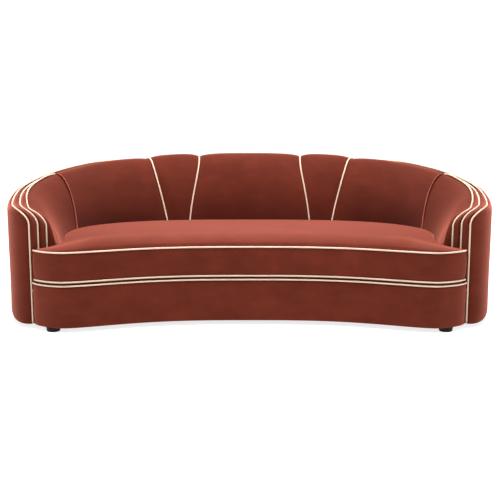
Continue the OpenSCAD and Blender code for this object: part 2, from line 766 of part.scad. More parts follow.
// each crossing has two stations, so a strap lies flat over its neighbour
function spread(list, w) = [for (v = list) each [v - w, v + w]];
function doubled(list) = [for (v = list) each [v, v]];
function strap_z(n, phase) =
  let(flat = board_top + strap_wall / 2)
  concat([flat], doubled(weave(n, phase)), [flat]);
strap_half = strap_width / 2 + 3;
module webbing_across() {
  for (j = [0 : len(across_y) - 1]) {
    y = across_y[j];
    reach = min(seat_wide(y - strap_width / 2), seat_wide(y + strap_width / 2)) - strap_end;
    xs = concat([-reach], spread(length_x, strap_half), [reach]);
    strap([for (x = xs) [x, y]], strap_z(len(length_x), j), true);
  }
}
module webbing_lengthwise() {
  for (i = [0 : len(length_x) - 1]) {
    x = length_x[i];
    outer = abs(x) + strap_width / 2;
    inner = max(0, abs(x) - strap_width / 2);
    ys = concat(
      [front_y(inner) + rail_set + 10], spread(across_y, strap_half), [seat_rear(outer) - strap_end]);
    strap([for (y = ys) [x, y]], strap_z(len(across_y), i + 1), false);
  }
}

// Cushion outline: the seat space behind, an ear past each arm's layers, and the front curve.
ear_from = 145;
ear_steps = 3;
seat_steps = 14;
ear_clear = 2 * piping_r + 2.5;
ear_tip = 24;
function ear_back() =
  let(
    corner = edge(3, 180),
    way = unit([2 * layer_width, -2 * layer_step]),
    turn = atan2(-way[1], way[0]),
    last = edge(1, 180),
    length = norm([last[0] - corner[0], last[1] - corner[1]]) - ear_tip)
  concat(
    [
      for (i = [0 : ear_steps])
        let(q = mix(10, 90 - turn, i / ear_steps))
        [corner[0] - ear_clear * cos(q), corner[1] - ear_clear * sin(q)]],
    [[corner[0] - ear_clear * sin(turn) + way[0] * length, corner[1] - ear_clear * cos(turn) + way[1] * length]]);
function half_seat(gap) = [for (i = [1 : seat_steps]) plan(seat_curve(-gap, -gap), ear_from * i / seat_steps)];
function half_outline(gap, corner) = concat(
  half_seat(gap),
  ear_back(),
  half_front(corner));
function outline(gap, corner) =
  let(right = half_outline(gap, corner))
  concat(
    [plan(seat_curve(-gap), 0)], right, [[0, front_y(0)]],
    [for (p = reversed(right)) flip_x(p)]);
cushion_corner = 22;
cushion_line = outline(cushion_gap, cushion_corner);
bottom_low = deck_top + soft_gap;
function drawn(line, d) = shifted(line, d, true);
rebate = piping_r + slack;
module cushion_core() {
  translate([0, 0, cushion_low])
    linear_extrude(height = cushion_high - cushion_low)
      polygon(drawn(cushion_line, -rebate));
}
module cushion_boxing() {
  rows = 3;
  n = len(cushion_line);
  low = cushion_low + rebate;
  high = cushion_high - rebate;
  outer = [for (j = [0 : rows]) drawn(cushion_line, cushion_swell * sin(180 * j / rows) - skin_gap)];
  inner = drawn(cushion_line, -rebate);
  ring_slab(
    [for (i = [0 : n - 1]) [for (j = [0 : rows]) at(outer[j][i], mix(low, high, j / rows))]],
    [for (i = [0 : n - 1]) [for (j = [0 : rows]) at(inner[i], mix(low, high, j / rows))]]);
}

// A slab whose last station joins its first.
module ring_slab(shown, hidden) {
  m = len(shown);
  n = len(shown[0]);
  points = concat([for (row = shown) each row], [for (row = hidden) each row]);
  function id(side, i, j) = side * m * n + (i % m) * n + j;
  function quad(a, b, c, d) = [[a, b, c], [a, c, d]];
  faces = [
    for (i = [0 : m - 1]) each concat(
      [
        for (j = [0 : n - 2]) each concat(
          quad(id(0, i, j), id(0, i + 1, j), id(0, i + 1, j + 1), id(0, i, j + 1)),
          quad(id(1, i, j), id(1, i, j + 1), id(1, i + 1, j + 1), id(1, i + 1, j)))],
      quad(id(0, i, 0), id(1, i, 0), id(1, i + 1, 0), id(0, i + 1, 0)),
      quad(id(0, i, n - 1), id(0, i + 1, n - 1), id(1, i + 1, n - 1), id(1, i, n - 1)))];
  polyhedron(points = points, faces = faces);
}

// The crown rises from the upper piping towards a spine along the middle of the seat.
crown_rings = [[0.02, 0.12], [0.06, 0.38], [0.16, 0.68], [0.36, 0.92], [0.7, 1]];
function spine(p) = [
  0.78 * p[0],
  mix(seat_y + seat_reach * 0.37, seat_y - seat_front_reach * 0.75, pow(abs(p[0]) / half, 2) * 1.1)];
module cushion_top_panel() {
  line = drawn(cushion_line, -rebate);
  n = len(line);
  rings = concat(
    [for (p = line) at(p, cushion_high)],
    [
      for (r = crown_rings) for (p = line)
        at(mix(p, spine(p), r[0]), cushion_high + cushion_crown * r[1])]);
  rows = len(crown_rings);
  skin = [
    for (k = [0 : rows - 1]) for (i = [0 : n - 1])
      let(a = k * n + i, b = k * n + (i + 1) % n)
      each [[a, b, b + n], [a, b + n, a + n]]];
  polyhedron(
    points = rings,
    faces = concat(
      skin,
      [[for (i = [n - 1 : -1 : 0]) i]],
      [[for (i = [0 : n - 1]) rows * n + i]]));
}
module cushion_bottom_panel() {
  translate([0, 0, bottom_low])
    linear_extrude(height = cushion_low - bottom_low)
      polygon(drawn(cushion_line, -2 * rebate));
}
module cushion_piping(z) {
  tube(lifted(cushion_line, z), piping_r, closed = true);
}

// Deck: a pad over the webbing that fills the space between the pads and the front.
deck_gap = 4;
deck_low = board_top + 2 * strap_wall;
module deck_pad() {
  translate([0, 0, deck_low])
    linear_extrude(height = deck_top - deck_low)
      difference() {
        polygon(outline(deck_gap, cushion_corner));
        polygon(concat(shifted(whole_front(corner_from), 2 * rail_set), reversed(rail_front)));
      }
}
module dust_cover() {
  translate([0, 0, foot_height])
    linear_extrude(height = cloth)
      difference() {
        polygon(concat(ring_line(0), reversed(rail_front)));
        for (side = [-1, 1]) for (p = foot_places) translate([side * p[0], p[1]]) circle(r = stud_r + 1, $fn = 32);
      }
}

// Piping lines.
function arm_line(k, low) = concat([at(edge(k, 180), low)], [for (a = arm_angles) edge(k, a)]);
module layer_piping(k, side) {
  left_and_right(side) tube(arm_line(k, k == 1 ? foot_height : board_top), piping_r, lean = [0.3, 1, 0.5]);
}
module rear_piping() {
  tube([for (a = back_angles) edge(1, a)], piping_r);
}
seam_start = 0.28;
// how far a seam's piping stands off the bottom of its valley
seam_lift = 1.6;
function seam_line(k, r) =
  let(
    row = panel_shown(k - 1, 1, 0),
    line = concat([mix(row[1], row[2], seam_start)], [for (j = [2 : crown_steps + 2]) row[j]]),
    run = line[len(line) - 1] - line[0],
    level = unit([run[0], run[1], 0]))
  [
    for (j = [0 : len(line) - 1])
      let(t = along(line, j, false), reach = t * level)
      line[j] + (r + seam_lift) * unit(-level * t[2] + [0, 0, reach])];
module back_piping() {
  for (side = [-1, 1]) for (k = [1, 2]) left_and_right(side) tube(seam_line(k, piping_r), piping_r, lean = [1, 0, 0]);
}
module corner_piping(side) {
  left_and_right(side) tube(seam_line(3, thin_piping_r), thin_piping_r, lean = [1, 0, 0]);
}
module deck_piping() {
  tube(lifted(whole_front(corner_from), deck_seam), piping_r);
}

color(birch) seat_board();
color(birch) front_rail();
color(birch) rear_rail();
color(birch) side_rail(-1);  // side_rail_left
color(birch) side_rail(1);  // side_rail_right
color(birch) cross_rails();
color(birch) foot_blocks();
color(birch) arm_frame(-1);  // arm_frame_left
color(birch) arm_frame(1);  // arm_frame_right
color(birch) arm_posts(-1);  // arm_posts_left
color(birch) arm_posts(1);  // arm_posts_right
color(birch) back_top_rail();
color(birch) back_posts();
color(foam) webbing_across();
color(foam) webbing_lengthwise();
color(velvet) deck_pad();
color(velvet) front_border();
color(cream) deck_piping();
color(black) dust_cover();
color(velvet) outer_arm(-1);  // outer_arm_left
color(velvet) outer_arm(1);  // outer_arm_right
color(velvet) outer_back();
color(velvet_lit) arm_layer(2, -1);  // arm_layer_middle_left
color(velvet_lit) arm_layer(2, 1);  // arm_layer_middle_right
color(velvet) arm_layer(3, -1);  // arm_layer_inner_left
color(velvet) arm_layer(3, 1);  // arm_layer_inner_right
color(velvet_lit) inner_arm(-1);  // inner_arm_left
color(velvet_lit) inner_arm(1);  // inner_arm_right
color(velvet) back_panel(0, 1);  // back_panel_middle
color(velvet_lit) back_panel(1, -1);  // back_panel_wedge_left
color(velvet_lit) back_panel(1, 1);  // back_panel_wedge_right
color(velvet) back_panel(2, -1);  // back_panel_wide_left
color(velvet) back_panel(2, 1);  // back_panel_wide_right
color(cream) layer_piping(1, -1);  // piping_outer_left
color(cream) layer_piping(1, 1);  // piping_outer_right
color(cream) rear_piping();  // piping_rear
color(cream) layer_piping(2, -1);  // piping_middle_left
color(cream) layer_piping(2, 1);  // piping_middle_right
color(cream) layer_piping(3, -1);  // piping_inner_left
color(cream) layer_piping(3, 1);  // piping_inner_right
color(cream) back_piping();  // piping_back_seams
color(velvet) corner_piping(-1);  // piping_corner_left
color(velvet) corner_piping(1);  // piping_corner_right
color(black) foot(0, -1);  // foot_front_left
color(black) foot(0, 1);  // foot_front_right
color(black) foot(1, -1);  // foot_rear_left
color(black) foot(1, 1);  // foot_rear_right
color(steel) foot_studs();
color(steel) tee_nuts();
color(foam) cushion_core();
color(velvet) cushion_boxing();
color(velvet_lit) cushion_top_panel();
color(velvet) cushion_bottom_panel();
color(cream) cushion_piping(cushion_high);  // cushion_piping_top
color(cream) cushion_piping(cushion_low);  // cushion_piping_bottom
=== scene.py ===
"""Looks of a three-seat tub sofa in rose velvet with cream piping, dressed over its CAD frame.

Shapes are worked out in millimetres by the same plan and height formulas as the CAD source,
as whole numpy arrays, and turned into metres when they become meshes.
"""

from __future__ import annotations

import logging
import math
from dataclasses import dataclass, field
from enum import Enum
from functools import cached_property
from typing import Any, Callable, Iterator, Sequence

import bmesh
import bpy
import numpy as np
from mathutils import Euler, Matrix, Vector


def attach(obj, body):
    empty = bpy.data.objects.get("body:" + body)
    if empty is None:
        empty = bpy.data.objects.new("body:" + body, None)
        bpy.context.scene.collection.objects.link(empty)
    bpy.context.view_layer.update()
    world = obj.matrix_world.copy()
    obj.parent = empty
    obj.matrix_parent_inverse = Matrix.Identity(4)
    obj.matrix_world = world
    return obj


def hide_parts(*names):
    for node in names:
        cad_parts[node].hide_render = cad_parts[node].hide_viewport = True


Array = np.ndarray
LOG = logging.getLogger("sofa")
METRE = 0.001
# An edge that turns by more than this stays sharp.
SHARP = math.radians(60)
Colour = tuple[float, float, float, float]
Span = tuple[float, float]
Point = tuple[float, float, float]
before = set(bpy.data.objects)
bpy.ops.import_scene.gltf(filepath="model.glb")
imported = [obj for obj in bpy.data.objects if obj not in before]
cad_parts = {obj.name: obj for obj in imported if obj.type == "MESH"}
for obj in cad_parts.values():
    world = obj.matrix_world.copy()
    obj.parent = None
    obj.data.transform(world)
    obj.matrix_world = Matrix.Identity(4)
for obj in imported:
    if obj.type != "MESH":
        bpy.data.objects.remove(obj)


# Plain maths on arrays


def mix(a: Array | float, b: Array | float, t: Array | float) -> Array:
    """Moves evenly from a to b as t goes from 0 to 1."""
    return a + (b - a) * t


def clip(t: Array | float) -> Array:
    """Keeps t between 0 and 1."""
    return np.clip(t, 0.0, 1.0)


def ease(t: Array | float) -> Array:
    """Smooth step: 3t squared less 2t cubed, flat at both ends."""
    c = clip(t)
    return c * c * (3 - 2 * c)


def part_of(value: Array | float, span: Span) -> Array:
    """0 below a span, 1 above it and a smooth step between."""
    return ease((value - span[0]) / (span[1] - span[0]))


def sin_power(deg: Array | float, n: Array | float) -> Array:
    """The sine's size to the power 2/n, the squared-off form of a superellipse."""
    return np.abs(np.sin(np.radians(deg))) ** (2.0 / np.asarray(n))


def cos_power(deg: Array | float, n: Array | float) -> Array:
    """The cosine's size to the power 2/n."""
    return np.abs(np.cos(np.radians(deg))) ** (2.0 / np.asarray(n))


def joined(xy: Array, z: Array | float) -> Array:
    """Adds heights to plan points.

    Args:
        xy: plan points, shape (..., 2).
        z: height or heights.

    Returns:
        Points of shape (..., 3).
    """
    z = np.broadcast_to(np.asarray(z, float), xy.shape[:-1])
    return np.concatenate([xy, z[..., None]], axis=-1)


MIRROR = np.array([-1.0, 1.0, 1.0])
MIRROR_2D = np.array([-1.0, 1.0])
UP = np.array([0.0, 0.0, 1.0])


def flipped(points: Array) -> Array:
    """Mirrors points to the other side of the sofa."""
    return points * MIRROR


def both_sides(*shapes: Array) -> Iterator[tuple[str, tuple[Array, ...]]]:
    """Gives the left side's mirrored shapes, then the right side's own."""
    yield "left", tuple(flipped(shape) for shape in shapes)
    yield "right", shapes


def run_length(line: Array) -> Array:
    """Length from a line's start to each of its points."""
    return np.concatenate([[0], np.cumsum(np.linalg.norm(np.diff(line, axis=0), axis=1))])


def bell(reach: float, step: float) -> Array:
    """Weights of a bell curve out to three times its reach, which sum to 1.

    Args:
        reach: the bell's spread.
        step: distance between neighbours.

    Returns:
        The weights, an odd number of them.
    """
    n = max(1, int(3 * reach / step))
    w = np.exp(-0.5 * (np.arange(-n, n + 1) * step / reach) ** 2)
    return w / w.sum()


def grid_normals(p: Array) -> Array:
    """Unit normals of a grid of points: the cross product of its two gradients."""
    n = np.cross(np.gradient(p, axis=0), np.gradient(p, axis=1))
    return n / np.maximum(np.linalg.norm(n, axis=-1, keepdims=True), 1e-9)


# Large whole numbers that scatter the lattice points' values.
HASH_PRIMES = (73856093, 19349663, 83492791)
HASH_SEED = 2654435761
HASH_STIR = 1274126177
HASH_TOP = 0x7FFFFFFF


def soft_noise(p: Array, size: float, seed: int) -> Array:
    """Smooth value noise from -1 to 1: hashed lattice values, eased between the eight corners.

    Args:
        p: points, shape (..., 3), in millimetres.
        size: distance between lattice points.
        seed: which of the endless noises.

    Returns:
        One value for each point.
    """
    q = p / size
    base = np.floor(q).astype(np.int64)
    f = q - base
    f = f * f * (3 - 2 * f)
    total = np.zeros(p.shape[:-1])
    for corner in np.ndindex(2, 2, 2):
        c = base + np.array(corner)
        h = seed * HASH_SEED
        for i, prime in enumerate(HASH_PRIMES):
            h = h ^ (c[..., i] * prime)
        h = (h ^ (h >> 13)) * HASH_STIR & HASH_TOP
        value = h / float(HASH_TOP) * 2 - 1
        weight = np.prod([f[..., i] if corner[i] else 1 - f[..., i] for i in range(3)], axis=0)
        total += value * weight
    return total


def rumpled(grid: Array, fade: Array | float, *waves: tuple[float, float, int]) -> Array:
    """Moves a grid along its normals by layers of noise.

    Args:
        grid: points, shape (m, n, 3).
        fade: share of the move at each point.
        *waves: each layer's size, height and seed.

    Returns:
        The moved grid.
    """
    wave = sum(soft_noise(grid, size, seed) * height for size, height, seed in waves)
    return grid + grid_normals(grid) * (wave * fade)[..., None]


# The sofa's plan and heights


@dataclass(frozen=True)
class PlanCurve:
    """A plan curve by angle: 0 is the middle of the back, 90 the widest point, 180 the arm's front."""

    half: float
    mid_y: float
    rear: float
    power: float
    front_x: float
    front_reach: float
    front_power: float = 2.0

    def at(self, deg: Array | float) -> Array:
        """Plan points: a superellipse behind the widest line, and a squarer quarter in front of it.

        Args:
            deg: angles, negative on the left side.

        Returns:
            Points of shape (..., 2).
        """
        a = np.asarray(deg, float)
        b = np.abs(a)
        behind = b < 90
        x = np.where(
            behind,
            self.half * sin_power(b, self.power),
            self.front_x + (self.half - self.front_x) * cos_power(b - 90, self.front_power),
        )
        y = np.where(
            behind,
            self.mid_y + self.rear * cos_power(b, self.power),
            self.mid_y - self.front_reach * sin_power(b - 90, self.front_power),
        )
        return np.stack([np.sign(a) * x, y], axis=-1)


@dataclass(frozen=True)
class Sizes:
    """Every driving size of the sofa, in millimetres, and the lines that follow from them."""

    width: float = 2520
    depth: float = 1047
    back_height: float = 804
    arm_height: float = 615
    foot_height: float = 24
    rear_reach: float = 655
    rear_power: float = 2.6
    arm_set_back: float = 92
    arm_round: float = 160
    shell_wall: float = 20
    seam_inset: float = 30
    roll_height: float = 34
    layer_width: float = 39
    layer_step: float = 21.5
    layer_recess: float = 12
    layer_depth: float = 40
    layer_run_out: float = 0.1
    inner_layer_drop: float = 18
    inner_layer_lift: float = 3
    middle_layer_drop: float = 4.5
    shoulder_height: float = 80
    shoulder_power: float = 2.5
    arm_thickness: float = 272
    back_thickness: float = 220
    seat_forward: float = 135
    seat_power: float = 2.8
    pad_foot: float = 400
    arm_pad_power: float = 2
    arm_pad_lean: float = 0.3
    pad_recess: float = 10
    pad_front_power: float = 2.7
    bulge: float = 22
    bulge_run: float = 60
    bulge_reach: float = 95
    bulge_top: float = 425
    bulge_fade: float = 165
    crown_inset: float = 62
    back_power: float = 2.6
    back_lean: float = 0.6
    panel_swell: float = 14
    crown_dips: tuple[float, ...] = (0, 24, 22, 9)
    rear_drop: float = 24
    rear_fall_span: Span = (18, 44)
    seam_low: tuple[float, ...] = (0, 13, 20.3, 68)
    seam_crest: tuple[float, ...] = (0, 9.15, 22.7, 60)
    seam_top: tuple[float, ...] = (0, 8.9, 22.9, 60)
    deck_seam: float = 241
    deck_low: float = 210
    deck_top: float = 252
    front_hollow: float = 158
    hollow_half: float = 930
    hollow_power: float = 2.9
    hollow_run: float = 1.6
    corner_width: float = 168
    corner_depth: float = 100
    corner_power: float = 1.6
    board_top: float = 206
    cushion_low: float = 261
    cushion_high: float = 411
    cushion_crown: float = 52
    cushion_rear_crown: float = 30
    cushion_sink: float = 8
    cushion_swell: float = 4
    cushion_gap: float = 8
    piping_r: float = 5
    cord_r: float = 4.1
    thin_piping_r: float = 3
    fall_angle: float = 125
    even_step: float = 4
    even_reach: float = 85
    even_in: Span = (55, 75)
    even_out: Span = (108, 130)
    widen_span: Span = (36, 124)
    tilt_span: Span = (70, 130)
    upright_power: float = 3.4
    upright_run: float = 25
    pad_ease: float = 3
    tuck: float = 6
    panel_depth: float = 34
    seam_gap: float = 0.15
    seam_bend: tuple[float, ...] = (2.5, 2.5, 2, 1)
    seam_lift: float = 1.6
    rail_set: float = 22.3

    @property
    def half(self) -> float:
        """Half the width."""
        return self.width / 2

    @property
    def front(self) -> float:
        """The foremost line, at the base's piping."""
        return -self.depth / 2

    @property
    def arm_y(self) -> float:
        """The widest line of the shell."""
        return self.depth / 2 - self.rear_reach

    @property
    def front_x(self) -> float:
        """Where the shell's front meets the outer piping."""
        return self.half - self.arm_round

    @property
    def front_reach(self) -> float:
        """From the widest line to the arm's front."""
        return self.arm_y - self.front - self.arm_set_back

    @property
    def seat_half(self) -> float:
        """Half the width between the arms."""
        return self.half - self.arm_thickness

    @property
    def seat_y(self) -> float:
        """The widest line of the seat space."""
        return self.arm_y - self.seat_forward

    @property
    def seat_reach(self) -> float:
        """From the seat's widest line to the back's face."""
        return self.depth / 2 - self.back_thickness - self.seat_y

    @property
    def inner_front_x(self) -> float:
        """Where the inner pad's front meets the innermost piping."""
        return self.front_x - 2 * self.layer_width

    @property
    def seat_front_reach(self) -> float:
        """From the seat's widest line to the inner pads' front."""
        return self.seat_y - (self.front + self.arm_set_back + 2 * self.layer_step + self.pad_recess)

    @property
    def chamfer(self) -> float:
        """How far fabric is drawn down beside a piping."""
        return self.cord_r + 1.6

    def shell_curve(self, inset: float = 0, front_cut: float = 0) -> PlanCurve:
        """The shell's plan, taken in by inset.

        Args:
            inset: how far it is taken in.
            front_cut: how much shorter it is towards the front.

        Returns:
            The curve.
        """
        return PlanCurve(
            self.half - inset, self.arm_y, self.rear_reach - inset, self.rear_power,
            self.front_x + self.piping_r + 0.2, self.front_reach - front_cut)

    def seat_curve(
        self, out: Array | float = 0, front_out: float = 0, tip: Array | float | None = None
    ) -> PlanCurve:
        """The seat space's plan, grown by out, which may differ from angle to angle.

        Args:
            out: growth behind the widest line.
            front_out: how far its front moves back.
            tip: where its front ends from side to side, or the inner pad's own end.

        Returns:
            The curve.
        """
        end = self.inner_front_x - self.pad_ease if tip is None else tip
        return PlanCurve(
            self.seat_half + out, self.seat_y, self.seat_reach + out, self.seat_power, end,
            self.seat_front_reach - front_out, self.pad_front_power)

    @cached_property
    def evened(self) -> tuple[Array, Array]:
        """Angles, and the same angles smoothed over the shell's length beside its widest line.

        Returns:
            The plan's angles, and their smoothed values.
        """
        step, reach = self.even_step, self.even_reach
        deg = np.linspace(0, 180, 3601)
        line = self.shell_curve().at(deg)
        run = run_length(line)
        own = np.interp(np.arange(0, run[-1], step), run, deg)
        w = bell(reach, step)
        n = len(w) // 2
        wide = np.concatenate([-own[n:0:-1], own, 2 * own[-1] - own[-2:-n - 2:-1]])
        soft = np.convolve(wide, w, "valid")
        share = part_of(own, self.even_in) * (1 - part_of(own, self.even_out))
        return own, own + (soft - own) * share

    def even(self, deg: Array) -> Array:
        """The angle that heights and widths follow, without the jump in pace at the widest line."""
        own, soft = self.evened
        return np.interp(np.abs(deg), own, soft)

    def dome(self, deg: Array) -> Array:
        """1 along the arm, and falling to 0 at its front as the shoulder curves down."""
        part = clip((np.abs(deg) - self.fall_angle) / (180 - self.fall_angle))
        return np.sqrt(np.maximum(0, 1 - part**self.shoulder_power))

    def rim(self, deg: Array) -> Array:
        """Height of the rim: a squared cosine from the crown to the level arm, then the shoulder.

        Args:
            deg: angles.

        Returns:
            Heights.
        """
        fall = np.cos(np.radians(90 * clip(self.even(deg) / self.fall_angle))) ** 2
        rise = (self.back_height - self.arm_height) * fall
        return self.arm_height + rise - self.shoulder_height * (1 - self.dome(deg))

    def pad_bulge(self, deg: Array) -> Array:
        """How far the inner pads' roll stands in: a bell behind, and nothing at the front."""
        back = np.maximum(self.seat_curve().at(deg)[:, 1] - self.seat_y, 0)
        return self.bulge * ease((180 - deg) / self.bulge_run) * np.exp(-(back / self.bulge_reach) ** 2)

    def rear_fall(self, deg: Array) -> Array:
        """How far the rear seam lies below the crown, fading out at the corner seams."""
        return self.rear_drop * (1 - part_of(np.abs(deg), self.rear_fall_span))

    def widen(self, deg: Array) -> Array:
        """Share of the layers' full width at an angle."""
        return mix(self.layer_run_out, 1, part_of(self.even(deg), self.widen_span))

    def layer_drop(self, k: int, deg: Array) -> Array:
        """How far seam k lies below the rim.

        Args:
            k: which seam, 1 for the outer one.
            deg: angles.

        Returns:
            Lengths, less than 0 above the rim.
        """
        if k == 1:
            return self.rear_fall(deg)
        if k == 2:
            return np.full(np.shape(deg), self.middle_layer_drop)
        return mix(-self.inner_layer_lift, self.inner_layer_drop, part_of(self.even(deg), self.tilt_span))

    def edge_curve(self, k: int, t: Array | float) -> Callable[[Array], Array]:
        """Plan of seam k, with its front taken back by depth t.

        Args:
            k: which seam, 1 for the outer one.
            t: depth at each angle, or one depth.

        Returns:
            A function that gives plan points for angles.
        """
        s = self.seam_inset + (k - 1) * self.layer_width
        step = (k - 1) * self.layer_step

        def at(deg: Array) -> Array:
            """Plan points of the seam."""
            base = PlanCurve(
                self.half - s, self.arm_y, self.rear_reach - s, self.rear_power,
                self.front_x - (k - 1) * self.layer_width, self.front_reach - step).at(deg)
            b = np.abs(np.asarray(deg, float))
            back = np.where(b > 90, np.sin(np.radians(np.maximum(b - 90, 0))), 0) * t
            return base + np.stack([np.zeros_like(back), back], axis=-1)

        return at

    def edge(self, k: int, deg: Array, t: Array | float = 0) -> Array:
        """Seam k of the arm's layers, 1 for the outer one, taken in by depth t.

        Args:
            k: which seam.
            deg: angles.
            t: depth at each angle, or one depth.

        Returns:
            Points of shape (..., 3).
        """
        a = np.asarray(deg, float)
        outer = self.edge_curve(1, t)(a)
        own = self.edge_curve(k, t)(a)
        p = mix(outer, own, self.widen(a)[..., None])
        return joined(p, self.rim(a) - self.layer_drop(k, a) - t * self.dome(a))

    def arm_stations(self, shoulder: int, level: int, rear: int) -> Array:
        """Angles from the arm's front to the corner seam, closer together over the shoulder.

        Args:
            shoulder: steps over the shoulder.
            level: steps along the level arm.
            rear: steps from the widest line to the corner seam.

        Returns:
            Angles that fall from 180.
        """
        i = np.arange(shoulder + 1)
        front = self.fall_angle + (180 - self.fall_angle) * np.cos(np.radians(90 * i / shoulder)) ** (
            2 / self.shoulder_power)
        middle = np.linspace(self.fall_angle, 90, level + 1)[1:]
        last = np.linspace(90, self.seam_top[3], rear + 1)[1:]
        return np.concatenate([front, middle, last])

    def front_y(self, x: Array) -> Array:
        """The front's hollow curve: a superellipse dip raised to a power for its run to the ends."""
        inside = clip(1 - (np.abs(x) / self.hollow_half) ** self.hollow_power)
        return self.front + self.piping_r + self.front_hollow * inside**self.hollow_run

    def half_front(self, start: float, fine: int = 1) -> Array:
        """The right half of the front line, from the rounded corner to just short of the middle.

        Args:
            start: the corner's first angle.
            fine: how many times finer than the coarsest line.

        Returns:
            Points of shape (n, 2).
        """
        q = np.linspace(start, 90, 6 * fine + 1)[:-1]
        corner = np.stack([
            self.hollow_half + self.corner_width * cos_power(q, self.corner_power),
            self.front + self.piping_r + self.corner_depth * (1 - sin_power(q, self.corner_power))], axis=-1)
        x = self.hollow_half * (1 - np.arange(12 * fine) / (12 * fine))
        return np.concatenate([corner, np.stack([x, self.front_y(x)], axis=-1)])

    def whole_front(self, start: float, fine: int = 1) -> Array:
        """The whole front line, from the right corner to the left one.

        Args:
            start: the corner's first angle.
            fine: how many times finer than the coarsest line.

        Returns:
            Points of shape (n, 2).
        """
        right = self.half_front(start, fine)
        middle = np.array([[0.0, float(self.front_y(np.array(0.0)))]])
        return np.concatenate([right, middle, right[::-1] * MIRROR_2D])


S = Sizes()


def bow(q: Array, power: Array, lean: Array) -> tuple[Array, Array]:
    """A pad's upright section: share out and share up, by an angle from 0 at its foot to 90.

    Args:
        q: angle, in degrees.
        power: how square the section is.
        lean: how far its way out follows its way up.

    Returns:
        Share out and share up.
    """
    up = sin_power(q, power)
    out = 1 - cos_power(q, power)
    return mix(out, up, lean), up


def resampled(line: Array, count: int, closed: bool = False) -> Array:
    """Points evenly spaced along a line.

    Args:
        line: points, shape (n, 2) or (n, 3).
        count: how many points come back.
        closed: whether the line joins its own start.

    Returns:
        Points of shape (count, 2) or (count, 3).
    """
    p = np.concatenate([line, line[:1]]) if closed else line
    d = run_length(p)
    at = np.linspace(0, d[-1], count + 1)[:-1] if closed else np.linspace(0, d[-1], count)
    return np.stack([np.interp(at, d, p[:, i]) for i in range(p.shape[1])], axis=-1)


def softened(line: Array, reach: float, closed: bool = True) -> Array:
    """Rounds an evenly spaced line's corners: each point becomes a bell-weighted mean of its neighbours.

    Args:
        line: points, shape (n, 2) or (n, 3).
        reach: the bell's spread.
        closed: whether the line joins its own start.

    Returns:
        The rounded line, of the same shape.
    """
    w = bell(reach, float(np.linalg.norm(line[1] - line[0])))
    n = len(w) // 2
    p = np.concatenate([line[-n:], line, line[:n]]) if closed else np.concatenate(
        [2 * line[:1] - line[n:0:-1], line, 2 * line[-1:] - line[-2:-n - 2:-1]])
    return np.stack([np.convolve(p[:, i], w, "valid") for i in range(p.shape[1])], axis=-1)


def run_of(line: Array, closed: bool) -> Array:
    """Unit directions along a line.

    Args:
        line: points, shape (n, 2) or (n, 3).
        closed: whether the line joins its own start.

    Returns:
        Vectors of length 1, of the line's shape.
    """
    if closed:
        d = np.roll(line, -1, axis=0) - np.roll(line, 1, axis=0)
    else:
        d = np.gradient(line, axis=0)
    return d / np.maximum(np.linalg.norm(d, axis=1, keepdims=True), 1e-9)


def shifted(line: Array, d: Array | float, closed: bool = False) -> Array:
    """Moves a flat line to the left of its run by d."""
    t = run_of(line, closed)
    return line + np.asarray(d)[..., None] * np.stack([-t[:, 1], t[:, 0]], axis=-1)


# Meshes


def placed(name: str, data: bpy.types.ID) -> bpy.types.Object:
    """Puts a mesh, a light or a camera into the scene as an object.

    Args:
        name: the object's name.
        data: what it shows.

    Returns:
        The new object.
    """
    obj = bpy.data.objects.new(name, data)
    bpy.context.scene.collection.objects.link(obj)
    return obj


def points_of(mesh: bpy.types.Mesh) -> Array:
    """All points of a mesh, in metres.

    Args:
        mesh: any mesh.

    Returns:
        Points of shape (n, 3).
    """
    co = np.zeros(len(mesh.vertices) * 3)
    mesh.vertices.foreach_get("co", co)
    return co.reshape(-1, 3)


def set_points(mesh: bpy.types.Mesh, points: Array) -> None:
    """Moves all points of a mesh, in metres."""
    mesh.vertices.foreach_set("co", points.astype(np.float32).ravel())
    mesh.update()


def mesh_piece(name: str, verts: Array, faces: Array) -> bpy.types.Object:
    """Makes an object from points in millimetres, with its faces turned outwards.

    Args:
        name: the piece's name.
        verts: points, shape (n, 3).
        faces: vertex numbers of each face, shape (k, 3) or (k, 4).

    Returns:
        The new object, at the origin.
    """
    mesh = bpy.data.meshes.new(name)
    p = np.asarray(verts, float) * METRE
    f = faces
    a, b, c = p[f[:, 0]], p[f[:, 1]], p[f[:, 2]]
    volume = np.einsum("ij,ij->i", a, np.cross(b, c)).sum()
    if f.shape[1] == 4:
        d = p[f[:, 3]]
        volume += np.einsum("ij,ij->i", a, np.cross(c, d)).sum()
    if volume < 0:
        f = f[:, ::-1]
    mesh.from_pydata(p.tolist(), [], f.tolist())
    mesh.validate()
    mesh.shade_smooth()
    mesh.set_sharp_from_angle(angle=SHARP)
    return placed(name, mesh)


def quads(m: int, n: int, wrap_rows: bool = False, wrap_columns: bool = False, start: int = 0) -> Array:
    """Quads of an m by n grid of points, joined round where asked.

    Args:
        m: rows of points.
        n: points in a row.
        wrap_rows: whether the last row joins the first.
        wrap_columns: whether each row joins its own start.
        start: number of the first point.

    Returns:
        Point numbers, shape (k, 4).
    """
    i = np.arange(m if wrap_rows else m - 1)
    j = np.arange(n if wrap_columns else n - 1)
    a, b = np.meshgrid(i, j, indexing="ij")
    a2, b2 = (a + 1) % m, (b + 1) % n
    return start + np.stack([a * n + b, a2 * n + b, a2 * n + b2, a * n + b2], axis=-1).reshape(-1, 4)


